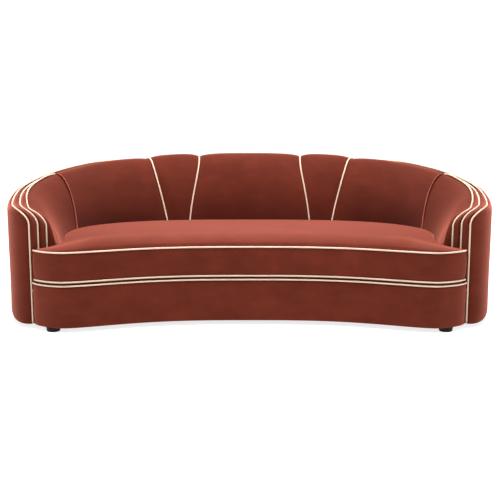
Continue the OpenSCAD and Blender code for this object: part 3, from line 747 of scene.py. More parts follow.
def slab_piece(name: str, shown: Array, hidden: Array) -> bpy.types.Object:
    """A closed pad or wall between a shown grid and the matching hidden grid behind it.

    Args:
        name: the piece's name.
        shown: outer points, shape (m, n, 3).
        hidden: inner points, of the same shape.

    Returns:
        The new object.
    """
    m, n = shown.shape[:2]
    size = m * n
    rim_ids = np.concatenate([
        np.arange(n), np.arange(1, m) * n + n - 1, (m - 1) * n + np.arange(n - 2, -1, -1),
        np.arange(m - 2, 0, -1) * n])
    nxt = np.roll(rim_ids, -1)
    sides = np.stack([rim_ids, rim_ids + size, nxt + size, nxt], axis=-1)
    faces = np.concatenate([quads(m, n), quads(m, n, start=size)[:, ::-1], sides])
    verts = np.concatenate([shown.reshape(-1, 3), hidden.reshape(-1, 3)])
    return mesh_piece(name, verts, faces)


def tube_rings(path: Array, r: float, sides: int, closed: bool) -> Array:
    """Rings of points round a path, turned along it with the least twist.

    Args:
        path: the centre line, shape (n, 3).
        r: the tube's radius.
        sides: points in each ring.
        closed: whether the path joins its start.

    Returns:
        Points of shape (n, sides, 3).
    """
    t = run_of(path, closed)
    up = UP if abs(t[0][2]) < 0.9 else np.array([0.0, 1.0, 0.0])
    u = np.zeros_like(path)
    side = np.cross(t[0], up)
    u[0] = side / np.linalg.norm(side)
    for i in range(1, len(path)):
        side = u[i - 1] - t[i] * float(u[i - 1] @ t[i])
        u[i] = side / np.linalg.norm(side)
    if closed:
        v0 = np.cross(t[0], u[0])
        back = u[-1] - t[0] * float(u[-1] @ t[0])
        twist = math.atan2(float(back @ v0), float(back @ u[0]))
        turn = -twist * np.arange(len(path)) / len(path)
        u = u * np.cos(turn)[:, None] + np.cross(t, u) * np.sin(turn)[:, None]
    v = np.cross(t, u)
    q = np.linspace(0, 2 * np.pi, sides, endpoint=False)[None, :, None]
    return path[:, None] + r * (np.cos(q) * u[:, None] + np.sin(q) * v[:, None])


# How far the end of a piping is domed, as a share of its radius.
TUBE_END = 0.4


def tube_piece(
    name: str, paths: Sequence[Array], r: float, closed: bool = False, sides: int = 12
) -> bpy.types.Object:
    """Round piping along one or more paths, with its run and turn kept as a UV map for the weave.

    Args:
        name: the piece's name.
        paths: centre lines in millimetres.
        r: the piping's radius.
        closed: whether each path joins its start.
        sides: points round the piping.

    Returns:
        The new object.
    """
    verts, faces, runs = [], [], []
    start = 0
    k = np.arange(sides)
    for path in paths:
        rings = tube_rings(path, r, sides, closed)
        m = len(path)
        verts.append(rings.reshape(-1, 3))
        faces.append(quads(m, sides, closed, True, start))
        d = run_length(path)
        runs.append(np.repeat(d, sides))
        if not closed:
            tips = start + m * sides
            for ring, centre in ((0, tips), (m - 1, tips + 1)):
                a, b = start + ring * sides + k, start + ring * sides + (k + 1) % sides
                pair = [b, a] if ring == 0 else [a, b]
                faces.append(np.stack(pair + 2 * [np.full(sides, centre)], axis=-1))
            way = run_of(path, False) * r * TUBE_END
            verts.append(np.stack([path[0] - way[0], path[-1] + way[-1]]))
            runs.append(np.array([0.0, d[-1]]))
        start = sum(len(v) for v in verts)
    clean = [list(dict.fromkeys(f)) for f in np.concatenate(faces).tolist()]
    mesh = bpy.data.meshes.new(name)
    mesh.from_pydata((np.concatenate(verts) * METRE).tolist(), [], clean)
    mesh.validate()
    face_outwards(mesh)
    mesh.shade_smooth()
    run = np.concatenate(runs) * METRE
    uv = mesh.uv_layers.new(name="run")
    loop_vert = np.zeros(len(mesh.loops), int)
    mesh.loops.foreach_get("vertex_index", loop_vert)
    around = (loop_vert % sides) / sides
    uv.data.foreach_set("uv", np.stack([run[loop_vert], around], axis=-1).astype(np.float32).ravel())
    return placed(name, mesh)


@dataclass(frozen=True)
class ClothPass:
    """A short cloth simulation that swells a padded mesh between the seams that hold it."""

    cap: float
    pressure: float = 4.0
    frames: int = 16
    quality: int = 3
    mass: float = 0.3
    stiff: float = 12.0
    bending: float = 0.8
    calm: int = 60

    @staticmethod
    def hold(obj: bpy.types.Object, weights: Array) -> None:
        """Pins points by weight, in steps of a tenth, so that they can't move.

        Args:
            obj: the piece.
            weights: 0 for a free point and 1 for a sewn or hidden one, in the mesh's order.
        """
        group = obj.vertex_groups.new(name="held")
        steps = np.round(clip(weights.ravel()) * 10).astype(int)
        for step in range(1, 11):
            group.add(np.flatnonzero(steps == step).tolist(), step / 10, "REPLACE")

    @staticmethod
    def mirror(obj: bpy.types.Object, other: bpy.types.Object) -> None:
        """Gives a piece's mirrored twin the same simulated points."""
        set_points(other.data, flipped(points_of(obj.data)))

    def run(self, obj: bpy.types.Object) -> None:
        """Steps the cloth, caps each point's move by a smooth limit, and leaves a plain mesh.

        Args:
            obj: a piece whose points were held.
        """
        before = points_of(obj.data)
        cloth = obj.modifiers.new("cloth", "CLOTH")
        cloth.settings.quality = self.quality
        cloth.settings.mass = self.mass
        cloth.settings.tension_stiffness = self.stiff
        cloth.settings.compression_stiffness = self.stiff
        cloth.settings.shear_stiffness = self.stiff / 2
        cloth.settings.bending_stiffness = self.bending
        cloth.settings.vertex_group_mass = "held"
        cloth.settings.use_pressure = True
        cloth.settings.uniform_pressure_force = self.pressure
        cloth.settings.effector_weights.gravity = 0.0
        cloth.collision_settings.use_collision = False
        for f in range(1, self.frames + 1):
            bpy.context.scene.frame_set(f)
        graph = bpy.context.evaluated_depsgraph_get()
        posed = obj.evaluated_get(graph)
        after = points_of(posed.to_mesh())
        posed.to_mesh_clear()
        obj.modifiers.remove(cloth)
        bpy.context.scene.frame_set(1)
        move = after - before
        size = np.maximum(np.linalg.norm(move, axis=1, keepdims=True), 1e-9)
        limit = self.cap * METRE
        move = self.calmed(obj.data, move * (limit * np.tanh(size / limit) / size))
        set_points(obj.data, before + move)
        mean, most = size.mean() / METRE, size.max() / METRE
        LOG.info("cloth on %s: mean move %.1f mm, most %.1f mm", obj.name, mean, most)
        obj.vertex_groups.clear()

    def calmed(self, mesh: bpy.types.Mesh, move: Array) -> Array:
        """Averages the moves over neighbours, so that the swell stays and its small pulls go.

        Args:
            mesh: the mesh, for its edges.
            move: every point's move; a point that hasn't moved stays where it is.

        Returns:
            The calmed moves.
        """
        pairs = np.zeros(len(mesh.edges) * 2, dtype=np.int32)
        mesh.edges.foreach_get("vertices", pairs)
        a, b = pairs.reshape(-1, 2).T
        count = len(move)
        free = (np.linalg.norm(move, axis=1) > 1e-7).astype(float)
        around = np.maximum(np.bincount(a, minlength=count) + np.bincount(b, minlength=count), 1)
        for _ in range(self.calm):
            near = [np.bincount(a, move[b, k], count) + np.bincount(b, move[a, k], count) for k in range(3)]
            move = mix(move, np.stack(near, axis=-1) / around[:, None], 0.5) * free[:, None]
        return move


def slab_hold(m: int, n: int, reach: float = 4.0) -> Array:
    """Weights for a slab: 1 on its hidden side and its edges, falling to 0 a few grid steps in.

    Args:
        m: rows of the shown grid.
        n: points in a row.
        reach: grid steps from an edge to the free points.

    Returns:
        Weights of the shown points, then of the hidden ones.
    """
    i, j = np.meshgrid(np.arange(m), np.arange(n), indexing="ij")
    inside = np.minimum(np.minimum(i, m - 1 - i), np.minimum(j, n - 1 - j))
    shown = 1 - ease(inside / reach)
    return np.concatenate([shown.ravel(), np.ones(m * n)])


def swelled(
    obj: bpy.types.Object, held: Array, cloth: ClothPass, twin: bpy.types.Object | None
) -> bpy.types.Object:
    """Runs the cloth on a piece, or copies its simulated twin from the other side.

    Args:
        obj: the piece.
        held: its weights.
        cloth: the simulation.
        twin: the same piece of the other side, where that is done already.

    Returns:
        The simulated piece.
    """
    if twin is not None:
        cloth.mirror(twin, obj)
        return obj
    cloth.hold(obj, held)
    cloth.run(obj)
    return obj


def face_outwards(mesh: bpy.types.Mesh) -> None:
    """Turns a closed mesh's faces outwards where they point in.

    Args:
        mesh: a closed mesh.
    """
    co = points_of(mesh)
    mesh.calc_loop_triangles()
    tri = np.zeros(len(mesh.loop_triangles) * 3, int)
    mesh.loop_triangles.foreach_get("vertices", tri)
    tri = tri.reshape(-1, 3)
    if np.einsum("ij,ij->i", co[tri[:, 0]], np.cross(co[tri[:, 1]], co[tri[:, 2]])).sum() < 0:
        mesh.flip_normals()


# Shader maths


class Net:
    """One material's node tree, with short ways to add and join its nodes."""

    def __init__(self, name: str) -> None:
        """Starts an empty material.

        Args:
            name: the material's name.
        """
        self.material = bpy.data.materials.new(name)
        self.material.use_nodes = True
        self.tree = self.material.node_tree
        self.tree.nodes.clear()

    def node(self, kind: str, settings: dict[str, Any] | None = None, **inputs: Any) -> bpy.types.Node:
        """Adds a node, sets it up, then fills its sockets.

        Args:
            kind: the node type.
            settings: attributes to set first.
            **inputs: values or links by socket name, with _ for a space, or iN for socket number N.

        Returns:
            The node.
        """
        n = self.tree.nodes.new(kind)
        for key, value in (settings or {}).items():
            setattr(n, key, value)
        for key, value in inputs.items():
            if key[0] == "i" and key[1:].isdigit():
                socket = n.inputs[int(key[1:])]
            else:
                socket = n.inputs[key.replace("_", " ")]
            self.feed(socket, value)
        return n

    def feed(self, socket: bpy.types.NodeSocket, value: Any) -> None:
        """Links a socket or wrapped value, or sets a plain value.

        Args:
            socket: the socket to fill.
            value: a wired value, a socket or a plain value.
        """
        if isinstance(value, Wire):
            self.tree.links.new(value.socket, socket)
        elif isinstance(value, bpy.types.NodeSocket):
            self.tree.links.new(value, socket)
        else:
            socket.default_value = value

    def wire(
        self, kind: str, output: int | str = 0, settings: dict[str, Any] | None = None, **inputs: Any
    ) -> Wire:
        """Adds a node and wraps one of its outputs."""
        return Wire(self, self.node(kind, settings, **inputs).outputs[output])

    def place(self, stretch: Point = (1.0, 1.0, 1.0)) -> Wire:
        """Object coordinates, scaled by axis."""
        at = self.node("ShaderNodeTexCoord").outputs["Object"]
        return self.wire("ShaderNodeMapping", 0, None, Vector=at, Scale=stretch)

    def parts(self, vector: Any) -> list[Wire]:
        """The x, y and z of a vector."""
        split = self.node("ShaderNodeSeparateXYZ", None, Vector=vector)
        return [Wire(self, socket) for socket in split.outputs]

    def noise(self, at: Wire, scale: float, detail: float = 3.0, rough: float = 0.5) -> Wire:
        """Smooth noise from about 0.3 to 0.7."""
        return self.wire(
            "ShaderNodeTexNoise", "Fac", None, Vector=at, Scale=scale, Detail=detail, Roughness=rough)

    def colour(self, a: Any, b: Any, share: Any) -> Wire:
        """Mixes two colours.

        Args:
            a: the colour at share 0.
            b: the colour at share 1.
            share: how much of b.

        Returns:
            The mixed colour.
        """
        n = self.node("ShaderNodeMix", {"data_type": "RGBA"})
        self.feed(n.inputs[0], share)
        self.feed(n.inputs[6], a)
        self.feed(n.inputs[7], b)
        return Wire(self, n.outputs[2])

    def bump(self, height: Wire, strength: float, distance: float, below: Wire | None = None) -> Wire:
        """A bump node's normal.

        Args:
            height: the relief.
            strength: how strongly it shows.
            distance: its depth in metres.
            below: the normal that it lies on.

        Returns:
            The normal.
        """
        n = self.node("ShaderNodeBump", None, Strength=strength, Distance=distance, Height=height)
        if below is not None:
            self.feed(n.inputs["Normal"], below)
        return Wire(self, n.outputs[0])

    def finish(self, **inputs: Any) -> bpy.types.Material:
        """Joins a Principled shader with these sockets to the output.

        Args:
            **inputs: values or links of the shader's sockets.

        Returns:
            The material.
        """
        shader = self.node("ShaderNodeBsdfPrincipled", None, **inputs)
        out = self.node("ShaderNodeOutputMaterial")
        self.tree.links.new(shader.outputs[0], out.inputs[0])
        return self.material


@dataclass(frozen=True)
class Wire:
    """A socket's value, with arithmetic that adds Math nodes."""

    net: Net
    socket: bpy.types.NodeSocket

    def _do(self, operation: str, a: Any, b: Any = 0.0) -> Wire:
        """Adds one Math node."""
        return self.net.wire("ShaderNodeMath", 0, {"operation": operation}, i0=a, i1=b)

    def __add__(self, other: Any) -> Wire:
        """Sum."""
        return self._do("ADD", self, other)

    __radd__ = __add__

    def __mul__(self, other: Any) -> Wire:
        """Product."""
        return self._do("MULTIPLY", self, other)

    __rmul__ = __mul__

    def __sub__(self, other: Any) -> Wire:
        """Difference."""
        return self._do("SUBTRACT", self, other)

    def __rsub__(self, other: Any) -> Wire:
        """Difference from a number."""
        return self._do("SUBTRACT", other, self)

    def sine(self) -> Wire:
        """Sine."""
        return self._do("SINE", self)

    def size(self) -> Wire:
        """Size without its sign."""
        return self._do("ABSOLUTE", self)

    def band(self, low: float, high: float) -> Wire:
        """0 below low, 1 above high and smooth between.

        Args:
            low: where it starts.
            high: where it ends.

        Returns:
            The smooth step.
        """
        return self.net.wire(
            "ShaderNodeMapRange", 0, {"interpolation_type": "SMOOTHSTEP"},
            Value=self, From_Min=low, From_Max=high, To_Min=0.0, To_Max=1.0)


class PaintedShading(Enum):
    """The painted shade and painted light that each part of the sofa gets."""

    EVEN = "even"
    BACK = "darker low down and towards the corners"
    PAD = "darker towards the corner seams"
    SEAT = "brushed lighter towards the rear of the top"
    SHELL = "darker low down"


@dataclass(frozen=True)
class Velvet:
    """Short-pile velvet: patches of pile that lie lighter or darker at random, a fine pile relief, a soft
    edge sheen, and painted shade and painted light by place on the sofa.
    """

    name: str
    deep: Colour = (0.080, 0.0125, 0.0062, 1)
    lit: Colour = (0.118, 0.0205, 0.0105, 1)
    sheen: float = 0.85
    sheen_rough: float = 0.42
    tint: Colour = (1.0, 0.315, 0.225, 1)
    # pale is the painted light's colour on the cushion top; shadow sets the painted shade's colour as a
    # share of deep.
    pale: Colour = (0.23, 0.058, 0.042, 1)
    shadow: float = 0.2
    patch: float = 7.0
    # tone lightens or darkens a whole part's colour: painted light and shade.
    tone: float = 1.0
    painted_shading: PaintedShading = PaintedShading.EVEN

    def painted_light_and_shade(self, net: Net, colour: Wire) -> Wire:
        """Paints shade and light into the pile's colour by its place on the sofa.

        Args:
            net: the material's nodes.
            colour: the even pile's colour.

        Returns:
            The colour with its painted shade and light.
        """
        x, y, z = net.parts(net.place())
        # The painted shade's colour.
        dark = self.toned(self.deep, self.shadow)
        if self.painted_shading is PaintedShading.BACK:
            # Painted shade: the back panels darker low down, towards the corners, and a little everywhere.
            low = 1 - z.band(0.38, 0.66)
            corner = x.size().band(0.3, 0.95)
            return net.colour(colour, dark, low * 0.3 + corner * (low * 0.24 + 0.2) + 0.06)
        if self.painted_shading is PaintedShading.SHELL:
            # Painted shade: the outer cover darker low down.
            low = 1 - z.band(0.1, 0.5)
            return net.colour(colour, dark, low * 0.22)
        if self.painted_shading is PaintedShading.PAD:
            # Painted shade: the inner pads darker towards the corner seams, less so high up.
            corner = y.band(-0.36, -0.02)
            return net.colour(colour, dark, corner * (0.52 - z.band(0.5, 0.66) * 0.3))
        if self.painted_shading is PaintedShading.SEAT:
            # Painted light: the cushion top lighter towards its rear, mixed towards the pale colour.
            top, rear = z.band(0.39, 0.45), y.band(-0.48, 0.2)
            return net.colour(colour, self.pale, top * rear * 0.52)
        return colour

    @staticmethod
    def toned(colour: Colour, by: float) -> Colour:
        """A colour made darker or lighter."""
        return (colour[0] * by, colour[1] * by, colour[2] * by, 1.0)

    def make(self) -> bpy.types.Material:
        """Builds the material.

        Returns:
            The material.
        """
        net = Net(self.name)
        at = net.place()
        patches = net.noise(at, self.patch, 4.0, 0.55)
        stroke = net.noise(net.place((9.0, 9.0, 26.0)), 1.0, 3.0, 0.6)
        fleck = net.noise(at, 620.0, 2.0, 0.7)
        share = patches * 0.55 + stroke * 0.3 + fleck * 0.25 - 0.05
        deep, lit = self.toned(self.deep, self.tone), self.toned(self.lit, self.tone)
        colour = self.painted_light_and_shade(net, net.colour(deep, lit, share.band(0.3, 0.75)))
        pile = net.noise(at, 1500.0, 2.0, 0.6)
        fine = net.bump(pile, 0.35, 0.0006)
        soft = net.bump(net.noise(at, 38.0, 3.0, 0.5), 0.18, 0.004, fine)
        return net.finish(
            Base_Color=colour, Roughness=0.62 + patches * 0.25, Normal=soft,
            Sheen_Weight=self.sheen, Sheen_Roughness=self.sheen_rough, Sheen_Tint=self.tint,
            Specular_IOR_Level=0.04)


@dataclass(frozen=True)
class CreamPiping:
    """Plain-woven cream cloth wrapped round a cord: threads cross at a slant along the run."""

    name: str = "cream_piping"
    light: Colour = (0.62, 0.465, 0.345, 1)
    shade: Colour = (0.47, 0.32, 0.215, 1)
    thread: float = 0.0011
    turns: int = 16

    def make(self) -> bpy.types.Material:
        """Builds the material.

        Returns:
            The material.
        """
        net = Net(self.name)
        along, around, _ = net.parts(net.node("ShaderNodeUVMap", {"uv_map": "run"}).outputs[0])
        run = along * (math.tau / self.thread)
        turn = around * (math.tau * self.turns)
        weave = ((run + turn).sine() * 0.5 + 0.5) * ((run - turn).sine() * 0.5 + 0.5)
        at = net.place()
        soil = net.noise(at, 14.0, 4.0, 0.6)
        colour = net.colour(self.light, self.shade, (1 - weave) * 0.25 + soil.band(0.5, 0.8) * 0.3)
        return net.finish(
            Base_Color=colour, Roughness=0.72 + soil * 0.12, Normal=net.bump(weave, 0.5, 0.0003),
            Sheen_Weight=0.25, Sheen_Roughness=0.5)


@dataclass(frozen=True)
class Grained:
    """Wood or lacquer with a long grain."""

    name: str
    light: Colour
    dark: Colour
    stretch: Point = (3.0, 40.0, 40.0)
    rough: float = 0.5
    coat: float = 0.0
    relief: float = 0.2
    gloss: float = 0.4

    def make(self) -> bpy.types.Material:
        """Builds the material.

        Returns:
            The material.
        """
        net = Net(self.name)
        grain = net.noise(net.place(self.stretch), 1.0, 6.0, 0.6)
        pores = net.noise(net.place(tuple(6 * s for s in self.stretch)), 1.0, 3.0, 0.7)
        wear = net.noise(net.place(), 30.0, 4.0, 0.6)
        share = grain.band(0.35, 0.65) * 0.8 + pores * 0.2
        return net.finish(
            Base_Color=net.colour(self.light, self.dark, share), Roughness=self.rough + wear * 0.2,
            Normal=net.bump(share, self.relief, 0.0008), Coat_Weight=self.coat, Coat_Roughness=0.2,
            Specular_IOR_Level=self.gloss)


@dataclass(frozen=True)
class Woven:
    """Coarse or fine plain weave on Object coordinates: crossing sine ribs, one set over the other."""

    name: str
    light: Colour
    dark: Colour
    pitch: float = 0.002
    rough: float = 0.85

    def make(self) -> bpy.types.Material:
        """Builds the material.

        Returns:
            The material.
        """
        net = Net(self.name)
        k = math.tau / self.pitch
        x, y, _ = net.parts(net.place())
        weave = (x * k).sine() * (y * k).sine() * 0.5 + 0.5
        dust = net.noise(net.place(), 9.0, 4.0, 0.6)
        share = weave * 0.6 + dust * 0.4
        return net.finish(
            Base_Color=net.colour(self.dark, self.light, share), Roughness=self.rough - dust * 0.1,
            Normal=net.bump(weave, 0.4, self.pitch * 0.25))


@dataclass(frozen=True)
class ZincSteel:
    """Zinc-plated steel with soft spangles and fine scratches."""

    name: str = "zinc_steel"

    def make(self) -> bpy.types.Material:
        """Builds the material.

        Returns:
            The material.
        """
        net = Net(self.name)
        at = net.place()
        spangle = net.noise(at, 180.0, 2.0, 0.5)
        scratch = net.noise(net.place((60.0, 60.0, 900.0)), 1.0, 3.0, 0.6)
        colour = net.colour((0.52, 0.54, 0.57, 1), (0.66, 0.67, 0.68, 1), spangle)
        return net.finish(
            Base_Color=colour, Metallic=1.0, Roughness=0.28 + scratch * 0.25,
            Normal=net.bump(scratch, 0.15, 0.0003))


@dataclass(frozen=True)
class Foam:
    """Open-cell upholstery foam: pale, matt and finely pitted."""

    name: str = "cushion_foam"

    def make(self) -> bpy.types.Material:
        """Builds the material.

        Returns:
            The material.
        """
        net = Net(self.name)
        at = net.place()
        cells = net.wire("ShaderNodeTexVoronoi", "Distance", None, Vector=at, Scale=520.0)
        tone = net.noise(at, 6.0, 3.0, 0.5)
        colour = net.colour((0.86, 0.80, 0.58, 1), (0.76, 0.68, 0.44, 1), tone)
        return net.finish(
            Base_Color=colour, Roughness=0.9 - cells * 0.1, Normal=net.bump(cells, 0.4, 0.0008))


@dataclass
class Finishes:
    """All finishes by the record's slot names."""

    made: dict[str, bpy.types.Material] = field(default_factory=dict)

    def build(self) -> None:
        """Makes every material once."""
        kinds: list[Any] = [
            # The velvet parts are one fabric: their tones differ as painted light and shade, lighter on the
            # outer cover and darker on the inner pads and the back.
            Velvet("velvet_outer", tone=1.08, sheen=0.62, painted_shading=PaintedShading.SHELL),
            Velvet("velvet_layers", patch=11.0),
            Velvet("velvet_inner", tone=0.88, sheen=0.75, painted_shading=PaintedShading.PAD),
            Velvet("velvet_back", tone=0.92, sheen=0.72, painted_shading=PaintedShading.BACK),
            Velvet("velvet_cushion", tone=1.0, sheen=0.75, painted_shading=PaintedShading.SEAT),
            Velvet("velvet_base"),
            # The thin corner piping's velvet is coloured about twice as light as the panels: a painted
            # highlight for the sheen along its round edge.
            Velvet("velvet_piping", (0.19, 0.040, 0.026, 1), (0.26, 0.060, 0.042, 1), patch=16.0),
            CreamPiping(),
            Foam(),
            Woven("deck_cloth", (0.12, 0.030, 0.022, 1), (0.06, 0.014, 0.011, 1), 0.0014),
            Woven("webbing", (0.55, 0.46, 0.32, 1), (0.24, 0.19, 0.13, 1), 0.003),
            Woven("dust_cloth", (0.030, 0.029, 0.030, 1), (0.010, 0.010, 0.011, 1), 0.0009),
            Grained("birch_plywood", (0.62, 0.44, 0.26, 1), (0.44, 0.28, 0.15, 1)),
            Grained(
                "black_foot", (0.012, 0.006, 0.005, 1), (0.005, 0.003, 0.003, 1), (40.0, 40.0, 6.0),
                rough=0.5, coat=0.05, relief=0.08, gloss=0.1),
            ZincSteel(),
        ]
        for kind in kinds:
            self.made[kind.name] = kind.make()
        LOG.info("finishes: %d", len(self.made))

    def dress(self, obj: bpy.types.Object, slot: str, body: str, *nodes: str) -> bpy.types.Object:
        """Gives a new piece its finish, body and the nodes it stands for.

        Args:
            obj: the piece.
            slot: the record's material slot.
            body: the CAD body it rides on.
            *nodes: CAD nodes that it replaces.

        Returns:
            The piece.
        """
        obj.data.materials.clear()
        obj.data.materials.append(self.made[slot])
        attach(obj, body)
        if nodes:
            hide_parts(*nodes)
        LOG.info("piece %s: %d faces", obj.name, len(obj.data.polygons))
        return obj


@dataclass
class Shell:
    """The outer cover: a wall with a rounded hem, rolled over to the outer seam."""

    body: str = "sofa_body"
    hem_rows: int = 9
    wall_rows: int = 14
    roll_rows: int = 10
    over_rows: int = 8
    hem_height: float = 46.0
    hem_inset: float = 18.0
    curl: float = 11.0
    curl_from: float = 150.0
    curl_power: float = 2.4

    def shown(self, deg: Array) -> Array:
        """Wall points by angle: a turned-under lip, a quarter-round hem, the wall and the roll.

        Args:
            deg: station angles.

        Returns:
            Points of shape (stations, rows, 3).
        """
        top = S.edge(1, deg)[:, 2]
        low = S.foot_height + self.hem_height
        rows = []
        for a in np.radians(np.linspace(0, 90, self.hem_rows)):
            inset = self.hem_inset * (1 - math.sin(a))
            z = S.foot_height + self.hem_height * (1 - math.cos(a))
            rows.append(joined(S.shell_curve(inset).at(deg), z))
        for v in np.linspace(0, 1, self.wall_rows + 1)[1:]:
            rows.append(joined(S.shell_curve().at(deg), mix(low, top - S.roll_height, v)))
        for a in np.radians(np.linspace(0, 90, self.roll_rows))[1:]:
            inset = (S.seam_inset - S.chamfer) * (1 - math.cos(a))
            z = top - S.roll_height * (1 - math.sin(a))
            rows.append(joined(S.shell_curve(inset).at(deg), z))
        rows.append(S.edge(1, deg, S.chamfer))
        grid = np.stack(rows, axis=1)
        fade = np.ones(grid.shape[1])
        fade[:3] = fade[-3:] = 0
        grid = rumpled(grid, fade, (210, 0.9, 3), (70, 0.35, 4))
        front = clip((np.abs(deg) - self.curl_from) / (180 - self.curl_from))
        grid[:, :-1, 1] += (self.curl * front**self.curl_power)[:, None]
        return grid

    def hidden(self, deg: Array, rows: int) -> Array:
        """Inner face of the wall, with as many rows as the shown one.

        Args:
            deg: station angles.
            rows: rows of the shown face.

        Returns:
            Points of shape (stations, rows, 3).
        """
        seat = S.edge(1, deg, S.layer_depth)
        wall = S.shell_curve(S.shell_wall, S.shell_wall).at(deg)
        top = seat[:, 2] - S.shell_wall * 0.6
        up = [joined(wall, mix(S.foot_height, top, v)) for v in np.linspace(0, 1, rows - self.over_rows)]
        over = [mix(joined(wall, top), seat, v) for v in np.linspace(0, 1, self.over_rows + 1)[1:]]
        return np.stack(up + over, axis=1)

    def build(self, finishes: Finishes) -> None:
        """Builds both arm covers and the back cover.

        Args:
            finishes: the materials.
        """
        arm = S.arm_stations(30, 22, 26)
        back = np.linspace(-S.seam_top[3], S.seam_top[3], 181)
        shown = self.shown(arm)
        for side, pair in both_sides(shown, self.hidden(arm, shown.shape[1])):
            obj = slab_piece(f"outer_cover_{side}", *pair)
            finishes.dress(obj, "velvet_outer", self.body, f"outer_arm_{side}")
        shown = self.shown(back)
        obj = slab_piece("outer_cover_back", shown, self.hidden(back, shown.shape[1]))
        finishes.dress(obj, "velvet_outer", self.body, "outer_back")


@dataclass
class ArmLayers:
    """Two padded strips that run up each arm's front, over the shoulder and back along the arm."""

    body: str = "sofa_body"
    across: int = 20
    foot_rows: int = 8
    fall: float = 6.5
    proud: float = 3.5
    flat_to: float = 0.42
    turn_power: float = 2.6

    def strip(self, k: int, deg: Array, share: Array, t: Array) -> Array:
        """Points across a layer: shares of the way between its two seams, and a straight foot below.

        Args:
            k: the layer's inner seam.
            deg: station angles.
            share: share of the way at each station and row.
            t: depth below the seams, of the same shape.

        Returns:
            Points of shape (foot rows + stations, rows, 3).
        """
        rows = [
            mix(S.edge(k - 1, deg, t[:, j]), S.edge(k, deg, t[:, j]), share[:, j][:, None])
            for j in range(share.shape[1])]
        grid = np.stack(rows, axis=1)
        foot = np.repeat(grid[:1], self.foot_rows, axis=0)
        up = np.linspace(0, 0.98, self.foot_rows)[:, None]
        foot[:, :, 2] = mix(S.board_top, grid[0, :, 2], up)
        return np.concatenate([foot, grid])

    def build(self, finishes: Finishes) -> None:
        """Builds the middle and inner layers of both arms.

        Args:
            finishes: the materials.
        """
        deg = S.arm_stations(36, 24, 24)
        wide = S.layer_width * S.widen(deg)
        full = 1 - S.chamfer * 0.6 / wide
        sunk = clip((S.layer_width - wide) / (S.layer_width - 2 * S.chamfer))
        u = np.linspace(0, 1, self.across + 1)
        turn = np.sqrt(1 - clip((u - self.flat_to) / (1 - self.flat_to)) ** self.turn_power)
        rise = 1.15 * S.layer_recess * (1 - ease(u / 0.5)) + self.fall - (self.fall + self.proud) * turn
        deep = np.full_like(u, S.chamfer * 0.8) + 3 * (1 - u)
        t = mix(rise[None, :], deep[None, :], sunk[:, None])
        share = u[None, :] * full[:, None]
        t = np.concatenate([t, np.full((len(deg), 1), S.chamfer)], axis=1)
        share = np.concatenate([share, np.ones((len(deg), 1))], axis=1)
        fade = np.ones(share.shape[1])
        fade[-3:] = 0
        for name, k in (("middle", 2), ("inner", 3)):
            shown = rumpled(self.strip(k, deg, share, t), fade, (60, 0.4, 10 + k))
            hidden = self.strip(k, deg, share, np.full_like(t, S.layer_depth))
            for side, pair in both_sides(shown, hidden):
                obj = slab_piece(f"layer_{name}_{side}", *pair)
                finishes.dress(obj, "velvet_layers", self.body, f"arm_layer_{name}_{side}")


@dataclass
class InnerPads:
    """Inner arm pads: upright behind the cushion, squarer at the front, then out to the inner layer."""

    body: str = "sofa_body"
    rows: int = 40
    slow_start: float = 0.4

    def blend(self, deg: Array) -> tuple[Array, Array]:
        """Shares of the way to the corner seam and to the arm's front.

        Args:
            deg: station angles.

        Returns:
            Both shares, 0 at the start of the shoulder.
        """
        near = clip((S.fall_angle - deg) / (S.fall_angle - S.seam_top[3]))
        near = near * ease(near / self.slow_start)
        far = ease((deg - S.fall_angle) / S.upright_run)
        return near, far

    def column(
        self, deg: Array, curve: Callable[[float], PlanCurve], out: Array, top: Array, span: float
    ) -> Array:
        """Upright lines of the pad at every station.

        Args:
            deg: station angles.
            curve: makes the plan curve for a growth.
            out: growth at each station.
            top: where each line ends, shape (stations, 3).
            span: the section's last angle.

        Returns:
            Points of shape (stations, rows + 2, 3).
        """
        near, far = self.blend(deg)
        power = mix(mix(S.arm_pad_power, S.back_power, near), S.upright_power, far)
        lean = mix(mix(S.arm_pad_lean, S.back_lean, near), 0, far)
        spread = (S.seam_low[3] - S.seam_top[3]) * near
        plan = np.stack([curve(o).at(a) for o, a in zip(out, deg + spread)])
        rows = [joined(plan, S.board_top)]
        for j in range(self.rows + 1):
            b, up = bow(span * j / self.rows, power, lean)
            z = mix(S.pad_foot, top[:, 2], up)
            at = np.stack([curve(o).at(a) for o, a in zip(out, deg + spread * (1 - up))])
            at[:, 0] -= S.pad_bulge(deg) * (1 - ease((z - S.bulge_top) / S.bulge_fade))
            rows.append(joined(mix(at, top[:, :2], b[:, None]), z))
        return np.stack(rows, axis=1)

    def build(self, finishes: Finishes) -> None:
        """Builds both pads.

        Args:
            finishes: the materials.
        """
        deg = S.arm_stations(34, 24, 26)
        near, _ = self.blend(deg)
        top = S.edge(3, deg, S.pad_recess)
        shown = self.column(deg, S.seat_curve, np.zeros_like(deg), top, 90)
        depth = mix(S.layer_width * 0.4 + S.inner_front_x - 2 - S.seat_half, S.panel_depth, near)
        under = S.edge(3, deg, S.layer_depth + 1)
        under[:, 2] -= 2 * S.tuck + S.tuck * (1 - S.dome(deg))
        hollow = S.layer_depth - S.pad_recess + 4
        hidden = self.column(deg, lambda o: S.seat_curve(o, hollow, S.seat_half + o), depth, under, 80)
        fade = np.sin(np.pi * np.linspace(0, 1, shown.shape[1])) ** 0.5
        shown = rumpled(shown, fade, (190, 1.6, 21), (60, 0.4, 22))
        twin: bpy.types.Object | None = None
        for side, pair in both_sides(shown, hidden):
            obj = slab_piece(f"inner_pad_{side}", *pair)
            twin = swelled(obj, slab_hold(*shown.shape[:2]), ClothPass(cap=3.0), twin)
            finishes.dress(obj, "velvet_inner", self.body, f"inner_arm_{side}")


